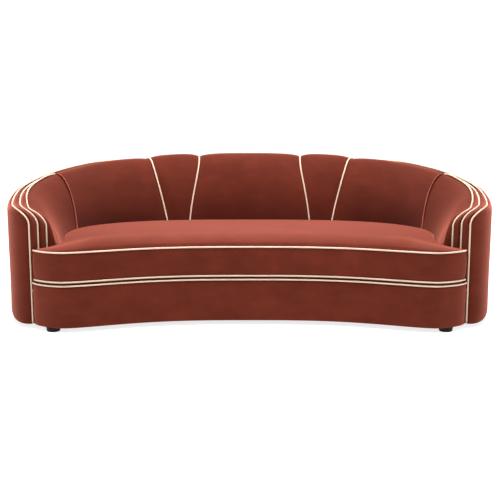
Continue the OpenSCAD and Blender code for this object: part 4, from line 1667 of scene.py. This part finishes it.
@dataclass
class BackPanels:
    """Five swollen back panels, with a dip in the crown at each seam between them."""

    body: str = "sofa_body"
    rows: int = 44
    crown_rows: int = 8
    crown_power: float = 2.2
    hidden_inset: float = 8
    hidden_drop: float = 62

    def angle(self, k: int, u: Array, h: float) -> Array:
        """Angle of a panel's upright line at height share h.

        Args:
            k: which panel.
            u: shares across it.
            h: share of its height.

        Returns:
            Angles.
        """
        end = S.seam_low[k + 1] - (S.seam_gap if k == 2 else 0)
        low = mix(S.seam_low[k], end, u)
        high = mix(S.seam_crest[k], S.seam_crest[k + 1], u)
        return mix(low, high, h ** mix(S.seam_bend[k], S.seam_bend[k + 1], u))

    def shown(self, k: int, u: Array, s: Array) -> Array:
        """The panel's face: the seat line below, a bowed rise, and the roll over to the rear seam.

        Args:
            k: which panel, 0 for the middle one.
            u: shares across the half panel or panel.
            s: swell at each share, 0 at a seam.

        Returns:
            Points of shape (columns, rows, 3).
        """
        top_a = self.angle(k, u, 1.0)
        top = S.shell_curve(S.crown_inset).at(top_a)
        last = S.edge(1, mix(S.seam_top[k], S.seam_top[k + 1], u), S.chamfer + 1.5)
        dip = np.where(u < 0.5, S.crown_dips[max(k, 1)], S.crown_dips[k + 1]) if k else S.crown_dips[1]
        crest = S.rim(top_a) - dip * (1 - s)
        rows = [joined(S.seat_curve().at(self.angle(k, u, 0.0)), S.board_top)]
        for j in range(self.rows + 1):
            b, up = bow(90 * j / self.rows, S.back_power, S.back_lean)
            low = S.seat_curve().at(self.angle(k, u, float(up)))
            puff = S.panel_swell * s * math.sin(math.pi * float(up)) / np.linalg.norm(top - low, axis=1)
            rows.append(joined(mix(low, top, (b - puff)[:, None]), mix(S.pad_foot, crest, up)))
        for v in np.linspace(0, 1, self.crown_rows + 1)[1:]:
            z = mix(crest, last[:, 2], 1 - math.sqrt(1 - v**self.crown_power))
            rows.append(joined(mix(top, last[:, :2], v), z))
        return np.stack(rows, axis=1)

    def hidden(self, k: int, u: Array, count: int) -> Array:
        """The panel's hidden side, a padding's depth behind its face.

        Args:
            k: which panel.
            u: shares across it.
            count: rows of the shown side.

        Returns:
            Points of shape (columns, count, 3).
        """
        top_a = self.angle(k, u, 1.0)
        top = S.shell_curve(S.crown_inset + self.hidden_inset).at(top_a)
        last = S.edge(1, top_a, S.layer_depth)
        high = S.rim(top_a) - self.hidden_drop
        rows = [joined(S.seat_curve(S.panel_depth).at(self.angle(k, u, 0.0)), S.board_top)]
        for j in range(count - 3):
            b, up = bow(90 * j / (count - 4), S.back_power, S.back_lean)
            low = S.seat_curve(S.panel_depth).at(self.angle(k, u, float(up)))
            rows.append(joined(mix(low, top, b), mix(S.pad_foot, high, up)))
        rows.append(mix(joined(top, high), last, 0.5))
        rows.append(last)
        return np.stack(rows, axis=1)

    def build(self, finishes: Finishes) -> None:
        """Builds the middle panel, the wedges and the wide ones.

        Args:
            finishes: the materials.
        """
        for k, (name, columns) in enumerate((("middle", 30), ("wedge", 34), ("wide", 90))):
            if k == 0:
                u = across = np.linspace(-1, 1, 2 * columns + 1)
            else:
                u = 0.5 - 0.5 * np.cos(np.pi * np.linspace(0, 1, columns + 1))
                across = 2 * u - 1
            s = np.sqrt(clip(1 - np.abs(across) ** 3))
            shown = self.shown(k, np.abs(u), s)
            hidden = self.hidden(k, np.abs(u), shown.shape[1])
            for grid in (shown, hidden):
                grid[u < 0, :, 0] *= -1
            fade = np.outer(s, np.sin(np.pi * np.linspace(0, 1, shown.shape[1])) ** 0.5)
            shown = rumpled(shown, fade, (170, 1.8, 31 + k), (55, 0.5, 41 + k))
            twin: bpy.types.Object | None = None
            for side, pair in both_sides(shown, hidden) if k else [("", (shown, hidden))]:
                tag = f"{name}_{side}" if side else name
                obj = slab_piece(f"back_pad_{tag}", *pair)
                twin = swelled(obj, slab_hold(*shown.shape[:2]), ClothPass(cap=3.5), twin)
                finishes.dress(obj, "velvet_back", self.body, f"back_panel_{tag}")


@dataclass
class Base:
    """The base's front border, the deck under the cushion and the dust cloth below."""

    body: str = "sofa_body"
    corner_from: float = 14
    roll_share: float = 0.06
    roll_depth: float = 5.0
    set_back: float = 2.0
    belly: float = 1.6
    thickness: float = 22.0
    deck_gap: float = 4.0
    deck_swell: float = 3.0

    def border(self, finishes: Finishes) -> None:
        """A padded band along the front curve, with a rolled hem and a soft top under its piping.

        Args:
            finishes: the materials.
        """
        line = softened(resampled(S.whole_front(self.corner_from, 6), 420), 4, closed=False)
        top = S.deck_seam - S.piping_r
        low, high = self.roll_share, 1 - self.roll_share
        v = np.concatenate([
            np.linspace(0, low, 7), np.linspace(low, high, 18)[1:], np.linspace(high, 1, 7)[1:]])
        level = mix(S.foot_height, top, v)
        roll = 1 - np.sqrt(clip(1 - (1 - clip(np.minimum(v, 1 - v) / low)) ** 2))
        inset = self.set_back + self.roll_depth * roll - self.belly * np.sin(np.pi * v)
        shown = np.stack([joined(shifted(line, -d), z) for d, z in zip(inset, level)], axis=1)
        shown = rumpled(shown, np.sin(np.pi * v), (240, 0.9, 51), (80, 0.3, 52))
        hidden = np.stack([joined(shifted(line, -self.thickness), z) for z in level], axis=1)
        obj = slab_piece("front_band", shown, hidden)
        finishes.dress(obj, "velvet_base", self.body, "front_border")

    def deck(self, finishes: Finishes) -> None:
        """The deck pad: flat on the board and level on top, with softly swelled sides and a faint ripple.

        Args:
            finishes: the materials.
        """
        outline = SeatCushion().outline(self.deck_gap, S.rail_set + 1)
        pad = Cushioned(outline, S.deck_low, S.deck_top, crown=0.0, swell=self.deck_swell, rear_crown=0.0)
        pad.build("deck", finishes, "deck_cloth", self.body, ("deck_pad",), 0.9)

    def build(self, finishes: Finishes) -> None:
        """Builds the whole base.

        Args:
            finishes: the materials.
        """
        self.border(finishes)
        self.deck(finishes)
        paint(finishes, "dust_cloth", "dust_cover")


def paint(finishes: Finishes, slot: str, *nodes: str) -> None:
    """Gives CAD nodes their finish and leaves their shape alone.

    Args:
        finishes: the materials.
        slot: the record's material slot.
        *nodes: names of the CAD nodes.
    """
    for name in nodes:
        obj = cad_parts[name]
        obj.data.materials.clear()
        obj.data.materials.append(finishes.made[slot])
    LOG.info("painted %s", ", ".join(nodes))


@dataclass
class Cushioned:
    """A closed cushion over a plan outline: boxed sides, and a crown that rises away from the edge."""

    outline: Array
    low: float
    high: float
    crown: float
    swell: float
    columns: int = 360
    rows: int = 46
    side_rows: int = 12
    under_rows: int = 18
    edge_inset: float = 4.0
    under_inset: float = 5.0
    wave: float = 1.6
    wave_fade: float = 90.0
    sink: float = 0.0
    sink_run: float = 24.0
    front_roll: float = 125.0
    front_powers: Span = (2.25, 0.52)
    rear_roll: float = 9.0
    rear_powers: Span = (2.2, 0.55)
    rear_crown: float = 12.0
    crown_width: float = 300.0
    tip_y: float = -450.0
    tip_weight: float = 0.35
    boxing_hold: float = 0.35
    seam_hold: float = 5.0
    end_hold: Span = (14, 30)
    cloth: ClothPass | None = None

    def hold(self, m: int, n: int) -> Array:
        """Weights that hold the seams, the underside and the sides towards the pads, and free the top.

        Args:
            m: columns.
            n: points round the section.

        Returns:
            Weights of shape (m, n).
        """
        j = np.arange(n)
        rows = np.ones(n)
        front = (j > 0) & (j < self.side_rows)
        rows[front] = mix(self.boxing_hold, 1, np.abs(2 * j[front] / self.side_rows - 1) ** 4)
        top = (j > self.side_rows) & (j < self.side_rows + self.rows)
        inside = np.minimum(j - self.side_rows, self.side_rows + self.rows - j)
        rows[top] = 1 - ease(inside[top] / self.seam_hold)
        i = np.minimum(np.arange(m), m - 1 - np.arange(m))
        return np.maximum(rows[None, :], 1 - part_of(i, self.end_hold)[:, None])

    def front_and_rear(self) -> tuple[Array, Array]:
        """Splits the outline at its two widest points into matched front and rear lines.

        Returns:
            The front and the rear line, with the same number of points.
        """
        line = self.outline
        off = self.tip_weight * np.abs(line[:, 1] - self.tip_y)
        right, left = int(np.argmax(line[:, 0] - off)), int(np.argmax(-line[:, 0] - off))
        line = np.roll(line, -right, axis=0)
        other = (left - right) % len(line)
        first, second = line[: other + 1], np.concatenate([line[other:], line[:1]])[::-1]
        rear, front = (first, second) if first[:, 1].mean() > second[:, 1].mean() else (second, first)
        u = np.linspace(0, 1, self.columns + 1)
        u = mix(u, ease(u), 0.35)
        return self.along(front, self.eased(front, u)), self.along(rear, self.eased(rear, u))

    def eased(self, line: Array, u: Array) -> Array:
        """Shares of a line's length that keep its columns near the same share of the width.

        Args:
            line: plan points.
            u: even shares.

        Returns:
            The eased shares.
        """
        d = run_length(line)
        d /= d[-1]
        x = (line[0, 0] - line[:, 0]) / (line[0, 0] - line[-1, 0])
        order = mix(d, np.maximum.accumulate(x), 0.5)
        order = (order - order[0]) / (order[-1] - order[0]) + np.linspace(0, 1e-6, len(order))
        return np.interp(u, order, d)

    @staticmethod
    def along(line: Array, share: Array) -> Array:
        """Points at shares of a line's length."""
        d = run_length(line)
        return np.stack([np.interp(share * d[-1], d, line[:, i]) for i in range(2)], axis=-1)

    @staticmethod
    def distance(p: Array, line: Array) -> Array:
        """A smooth distance to an open line: the inverse root of the summed inverse cubes of gaps.

        Args:
            p: plan points, shape (..., 2).
            line: the open line.

        Returns:
            Distances of shape (...).
        """
        even = resampled(line, 500)
        step = float(np.linalg.norm(even[1] - even[0]))
        gap = np.linalg.norm(p[..., None, :] - even, axis=-1)
        return np.sqrt(2.0 / (step / np.maximum(gap, step * 0.5) ** 3).sum(axis=-1))

    def edge_height(self, p: Array, front: Array) -> Array:
        """Height of the upper seam: lower away from the front line, where it sinks between the pads."""
        away = self.distance(p, front)
        return self.high - self.sink * away / (away + self.sink_run)

    @staticmethod
    def roll(away: Array, reach: Array, powers: Span) -> Array:
        """Share of the full height at a distance from a seam: a rounded shoulder over its reach."""
        return np.maximum(0, 1 - (1 - clip(away / reach)) ** powers[0]) ** powers[1]

    def top_height(self, p: Array, front: Array, rear: Array) -> Array:
        """Height of the crown: a wide roll from the front line, a tight one from the rear, a slope between.

        Args:
            p: plan points.
            front: the front seam.
            rear: the rear seam.

        Returns:
            Heights.
        """
        df, dr = self.distance(p, front), self.distance(p, rear)
        wide = df + dr
        rolls = self.roll(df, np.minimum(self.front_roll, 0.6 * wide), self.front_powers)
        rolls = rolls * self.roll(dr, np.minimum(self.rear_roll, 0.5 * wide), self.rear_powers)
        peak = mix(self.crown, self.rear_crown, ease(df / wide)) * clip(wide / self.crown_width) ** 1.1
        edge = self.edge_height(p, front)
        return edge + (self.high - edge + peak) * rolls

    def section(self, front: Array, rear: Array, inset: float) -> tuple[Array, Array]:
        """Draws the front and rear lines in by a length towards the inside of the outline.

        Args:
            front: the front line.
            rear: the rear line, from the same end.
            inset: the length, or less than 0 to go outwards.

        Returns:
            The moved front and rear lines.
        """
        ring = np.concatenate([front, rear[-2:0:-1]])
        t = run_of(ring, True)
        side = np.stack([-t[:, 1], t[:, 0]], axis=-1)
        area = np.sum(ring[:, 0] * np.roll(ring[:, 1], -1) - np.roll(ring[:, 0], -1) * ring[:, 1])
        moved = ring + side * inset * (1 if area > 0 else -1)
        a = moved[: len(front)]
        b = np.concatenate([moved[:1], moved[len(front):][::-1], moved[len(front) - 1: len(front)]])
        return a, b

    def build(
        self, name: str, finishes: Finishes, slot: str, body: str, nodes: tuple[str, ...], fill: float
    ) -> bpy.types.Object:
        """Builds the closed cushion as loops round its section at every column.

        Args:
            name: the piece's name.
            finishes: the materials.
            slot: the record's slot.
            body: the CAD body.
            nodes: CAD nodes that it replaces.
            fill: how full it is; not used.

        Returns:
            The piece.
        """
        front, rear = self.front_and_rear()
        parts: list[Array] = []
        edge = self.edge_inset
        sides = np.linspace(0, 1, self.side_rows + 1)
        swell = self.swell * np.sin(np.pi * sides) - edge * (np.abs(2 * sides - 1) ** 6)
        for v, out in zip(sides, swell):
            a, _ = self.section(front, rear, -out)
            parts.append(joined(a, mix(self.low, self.high, v)))
        a, b = self.section(front, rear, edge)
        s = 0.5 - 0.5 * np.cos(np.pi * np.linspace(0, 1, self.rows + 1))
        for v in mix(s, np.linspace(0, 1, self.rows + 1), 0.3)[1:-1]:
            flat = mix(a, b, v)
            parts.append(joined(flat, self.top_height(flat, front, rear)))
        for v, out in zip(sides[::-1], swell[::-1]):
            _, b2 = self.section(front, rear, -out)
            parts.append(joined(b2, mix(self.low, self.edge_height(b2, front), v)))
        low_a, low_b = self.section(front, rear, edge + self.under_inset)
        for v in np.linspace(0, 1, self.under_rows)[::-1]:
            parts.append(joined(mix(low_a, low_b, v), self.low - min(8.5, self.crown * 0.2)))
        grid = np.stack(parts, axis=1)
        n = grid.shape[1]
        top = slice(self.side_rows + 1, self.side_rows + self.rows)
        wave = (soft_noise(grid, 260, 61) + soft_noise(grid, 90, 62) * 0.35) * self.wave
        fade = np.zeros(grid.shape[:2])
        near = np.minimum(self.distance(grid[:, top, :2], front), self.distance(grid[:, top, :2], rear))
        fade[:, top] = clip(near / self.wave_fade)
        grid[..., 2] += wave * fade
        obj = mesh_piece(name, grid.reshape(-1, 3), quads(grid.shape[0], n, False, True))
        if self.cloth:
            ClothPass.hold(obj, self.hold(grid.shape[0], n))
        close_ends(obj)
        if self.cloth:
            self.cloth.run(obj)
        finishes.dress(obj, slot, body, *nodes)
        return obj


def close_ends(obj: bpy.types.Object) -> None:
    """Merges points that coincide, which closes the two ends of a cushion's loops.

    Args:
        obj: the cushion.
    """
    bm = bmesh.new()
    bm.from_mesh(obj.data)
    bmesh.ops.remove_doubles(bm, verts=bm.verts, dist=1e-5)
    holes = [e for e in bm.edges if e.is_boundary]
    if holes:
        bmesh.ops.holes_fill(bm, edges=holes, sides=0)
    bmesh.ops.recalc_face_normals(bm, faces=bm.faces)
    bm.to_mesh(obj.data)
    bm.free()
    obj.data.shade_smooth()
    obj.data.set_sharp_from_angle(angle=SHARP)


@dataclass
class SeatCushion:
    """The one loose seat cushion: boxed, crowned, with ears in front of the arms' layers."""

    body: str = "seat_cushion"
    ear_from: float = 145
    ear_clear: float = 12.5
    ear_tip: float = 24

    def ear_back(self) -> Array:
        """The ear's rear line: round the innermost layer's edge, then straight along the layers' fronts.

        Returns:
            Plan points from the pad to the ear's tip.
        """
        corner = S.edge(3, np.array(180.0))
        last = S.edge(1, np.array(180.0))
        way = np.array([2 * S.layer_width, -2 * S.layer_step])
        way = way / np.linalg.norm(way)
        turn = math.degrees(math.atan2(-way[1], way[0]))
        length = float(np.linalg.norm(last[:2] - corner[:2])) - self.ear_tip
        q = np.radians(np.linspace(10, 90 - turn, 7))
        arc = corner[:2] - self.ear_clear * np.stack([np.cos(q), np.sin(q)], axis=-1)
        start = corner[:2] + self.ear_clear * np.array([way[1], -way[0]])
        return np.concatenate([arc, (start + way * length)[None]])

    def outline(self, gap: float, set_back: float = 0.0) -> Array:
        """The closed plan line, evenly spaced, with its corners eased.

        Args:
            gap: clearance from the pads.
            set_back: how far it keeps behind the front curve.

        Returns:
            Points of shape (n, 2).
        """
        seat = S.seat_curve(-gap, -gap)
        front = shifted(S.half_front(22, 6), -set_back)
        deg = self.ear_from * np.linspace(0, 1, 90)[1:]
        side = seat.at(deg)
        side[:, 0] -= S.pad_bulge(deg)
        right = np.concatenate([side, self.ear_back(), front])
        middle = np.array([[0.0, float(S.front_y(np.array(0.0))) + set_back]])
        left = right[::-1] * MIRROR_2D
        line = np.concatenate([seat.at(np.array([0.0])), right, middle, left])
        return softened(resampled(line, 1100, closed=True), 5.0)

    def build(self, finishes: Finishes) -> None:
        """Builds the cushion with its two pipings.

        Args:
            finishes: the materials.
        """
        outline = self.outline(S.cushion_gap)
        cover = Cushioned(
            outline, S.cushion_low, S.cushion_high, S.cushion_crown, S.cushion_swell, sink=S.cushion_sink,
            rear_crown=S.cushion_rear_crown, cloth=ClothPass(cap=8.0))
        cover.build(
            "seat_cushion_cover", finishes, "velvet_cushion", self.body,
            ("cushion_core", "cushion_boxing", "cushion_top_panel", "cushion_bottom_panel"), 0.85)
        front, _ = cover.front_and_rear()
        for name, z in (("top", cover.edge_height(outline, front)), ("bottom", S.cushion_low)):
            obj = tube_piece(f"cushion_cord_{name}", [joined(outline, z)], S.cord_r, closed=True)
            finishes.dress(obj, "cream_piping", self.body, f"cushion_piping_{name}")


@dataclass
class Pipings:
    """All fixed pipings: the arms' three seams, the rear seam, the back's seams and the deck's front."""

    body: str = "sofa_body"
    dive: float = 9.0
    dive_run: float = 5.0
    foot_points: int = 40
    seam_from: float = 422.0

    def arm_line(self, k: int, low: float) -> Array:
        """A seam line up the arm's front, over the shoulder and back to the corner.

        Args:
            k: which seam, 1 for the outer one.
            low: height of its lower end.

        Returns:
            Points of shape (n, 3).
        """
        deg = S.arm_stations(60, 50, 40)
        line = S.edge(k, deg)
        foot = np.repeat(line[:1], self.foot_points, axis=0)
        foot[:, 2] = np.linspace(low, line[0, 2], self.foot_points + 1)[:-1]
        if k > 1:
            line[:, 2] -= self.dive * clip((S.seam_top[3] + self.dive_run - deg) / self.dive_run) ** 2
        return np.concatenate([foot, line])

    def seam_line(self, k: int, r: float, lift: float) -> Array:
        """The line in the valley between two back panels, raised by the piping's radius.

        Args:
            k: which seam, 1 for the one next to the middle panel.
            r: the piping's radius.
            lift: how far it stands clear of the valley.

        Returns:
            Points of shape (n, 3).
        """
        row = BackPanels(rows=60).shown(k - 1, np.array([1.0]), np.array([0.0]))[0][1:]
        line = row[int(np.argmin(np.abs(row[:, 2] - self.seam_from))):]
        t = run_of(line, False)
        level = (line[-1] - line[0]) * (1 - UP)
        level /= np.linalg.norm(level)
        out = UP * (t @ level)[:, None] - level * t[:, 2:3]
        return line + (r + lift) * out / np.linalg.norm(out, axis=1, keepdims=True)

    def build(self, finishes: Finishes) -> None:
        """Builds every fixed piping.

        Args:
            finishes: the materials.
        """
        for k, name in enumerate(("outer", "middle", "inner"), 1):
            low = S.foot_height + 9 if k == 1 else S.board_top
            for side, paths in both_sides(self.arm_line(k, low)):
                obj = tube_piece(f"cord_{name}_{side}", paths, S.cord_r)
                finishes.dress(obj, "cream_piping", self.body, f"piping_{name}_{side}")
        rear = S.edge(1, np.linspace(-S.seam_top[3], S.seam_top[3], 241))
        obj = tube_piece("cord_rear", [rear], S.cord_r)
        finishes.dress(obj, "cream_piping", self.body, "piping_rear")
        seams = [self.seam_line(k, S.piping_r, S.seam_lift) for k in (1, 2)]
        obj = tube_piece("cord_back_seams", seams + [flipped(s) for s in seams], S.cord_r)
        finishes.dress(obj, "cream_piping", self.body, "piping_back_seams")
        for side, paths in both_sides(self.seam_line(3, S.thin_piping_r, 2 * S.seam_lift)):
            obj = tube_piece(f"cord_corner_{side}", paths, S.thin_piping_r)
            finishes.dress(obj, "velvet_piping", self.body, f"piping_corner_{side}")
        deck = softened(resampled(S.whole_front(14, 6), 520), 4, closed=False)
        obj = tube_piece("cord_deck", [joined(deck, S.deck_seam)], S.cord_r)
        finishes.dress(obj, "cream_piping", self.body, "deck_piping")


@dataclass
class Structure:
    """The hidden frame, webbing and feet, which keep their CAD shapes."""

    def build(self, finishes: Finishes) -> None:
        """Gives each CAD node its finish.

        Args:
            finishes: the materials.
        """
        paint(
            finishes, "birch_plywood", "seat_board", "front_rail", "rear_rail", "side_rail_left",
            "side_rail_right", "cross_rails", "foot_blocks", "arm_frame_left", "arm_frame_right",
            "arm_posts_left", "arm_posts_right", "back_top_rail", "back_posts")
        paint(finishes, "webbing", "webbing_across", "webbing_lengthwise")
        paint(
            finishes, "black_foot", "foot_front_left", "foot_front_right", "foot_rear_left",
            "foot_rear_right")
        paint(finishes, "zinc_steel", "foot_studs", "tee_nuts")


@dataclass(frozen=True)
class Lamp:
    """A soft square light aimed at a point."""

    name: str
    at: Point
    aim: Point
    size: float
    power: float

    def build(self) -> None:
        """Puts the light into the scene."""
        data = bpy.data.lights.new(self.name, "AREA")
        data.size = self.size
        data.energy = self.power
        obj = placed(self.name, data)
        obj.location = self.at
        obj.rotation_euler = (Vector(self.aim) - Vector(self.at)).to_track_quat("-Z", "Y").to_euler()


@dataclass
class Studio:
    """A pale floor, soft light and the camera at the photograph's angle."""

    focal: float = 74.88
    sensor: float = 36.0
    shift: float = 0.0008
    pitch: float = 11.3
    eye: Point = (0.0, -5.5365, 1.429)
    front_level: float = 0.176
    rear_level: float = 0.72
    lean: Point = (0.0, 0.9, 0.9)
    lean_span: Span = (-0.8, 0.7)
    floor_half: float = 30.0
    lamps: tuple[Lamp, ...] = (
        Lamp("top_light", (0.0, -0.2, 3.6), (0.0, 0.0, 0.3), 3.2, 330),
        Lamp("left_light", (-4.4, -1.4, 0.6), (-1.2, 0.0, 0.35), 0.9, 54),
        Lamp("right_light", (4.4, -1.4, 0.6), (1.2, 0.0, 0.35), 0.9, 54),
    )

    def floor(self) -> None:
        """A wide pale floor."""
        mesh = bpy.data.meshes.new("floor")
        d = self.floor_half
        mesh.from_pydata([(-d, -d, 0), (d, -d, 0), (d, d, 0), (-d, d, 0)], [], [(0, 1, 2, 3)])
        obj = placed("floor", mesh)
        net = Net("floor_paint")
        tone = net.noise(net.place(), 2.0, 2.0, 0.5)
        colour = net.colour((0.88, 0.88, 0.88, 1), (0.85, 0.85, 0.85, 1), tone)
        ground = net.colour((0.5, 0.5, 0.5, 1), (0.48, 0.48, 0.48, 1), tone)
        obj.data.materials.append(net.finish(
            Base_Color=ground, Roughness=0.9, Specular_IOR_Level=0.1, Emission_Color=colour,
            Emission_Strength=0.9))

    def sky(self) -> None:
        """A world that is brighter above and behind, and plain white where the camera sees it."""
        world = bpy.data.worlds.new("studio")
        bpy.context.scene.world = world
        world.use_nodes = True
        tree = world.node_tree
        tree.nodes.clear()
        at = tree.nodes.new("ShaderNodeTexCoord")
        lean = tree.nodes.new("ShaderNodeVectorMath")
        lean.operation = "DOT_PRODUCT"
        lean.inputs[1].default_value = self.lean
        tree.links.new(at.outputs["Generated"], lean.inputs[0])
        level = tree.nodes.new("ShaderNodeMapRange")
        level.interpolation_type = "SMOOTHSTEP"
        ends = (*self.lean_span, self.front_level, self.rear_level)
        for name, value in zip(("From Min", "From Max", "To Min", "To Max"), ends):
            level.inputs[name].default_value = value
        tree.links.new(lean.outputs["Value"], level.inputs["Value"])
        sky = tree.nodes.new("ShaderNodeBackground")
        sky.inputs["Color"].default_value = (1.0, 1.0, 1.0, 1.0)
        seen = tree.nodes.new("ShaderNodeLightPath")
        shown = tree.nodes.new("ShaderNodeMath")
        shown.operation = "MAXIMUM"
        tree.links.new(seen.outputs["Is Camera Ray"], shown.inputs[0])
        tree.links.new(level.outputs[0], shown.inputs[1])
        tree.links.new(shown.outputs[0], sky.inputs["Strength"])
        out = tree.nodes.new("ShaderNodeOutputWorld")
        tree.links.new(sky.outputs[0], out.inputs[0])

    def camera(self) -> None:
        """The camera, level from side to side and tilted down."""
        cam = bpy.data.cameras.new("camera")
        cam.lens = self.focal
        cam.sensor_width = self.sensor
        cam.shift_x = self.shift
        obj = placed("camera", cam)
        obj.location = self.eye
        obj.rotation_euler = Euler((math.radians(90 - self.pitch), 0, 0))
        bpy.context.scene.camera = obj
        bpy.context.scene.view_settings.view_transform = "Standard"

    def build(self) -> None:
        """Sets floor, world, lights and camera."""
        self.floor()
        self.sky()
        for lamp in self.lamps:
            lamp.build()
        self.camera()


def main() -> None:
    """Builds every sub-assembly in order."""
    logging.basicConfig(level=logging.INFO, format="%(message)s")
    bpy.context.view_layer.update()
    finishes = Finishes()
    finishes.build()
    parts = (Structure(), Shell(), ArmLayers(), InnerPads(), BackPanels(), Base(), SeatCushion(), Pipings())
    for part in parts:
        part.build(finishes)
        LOG.info("built %s", type(part).__name__)
    Studio().build()


if __name__ == "__main__":
    main()
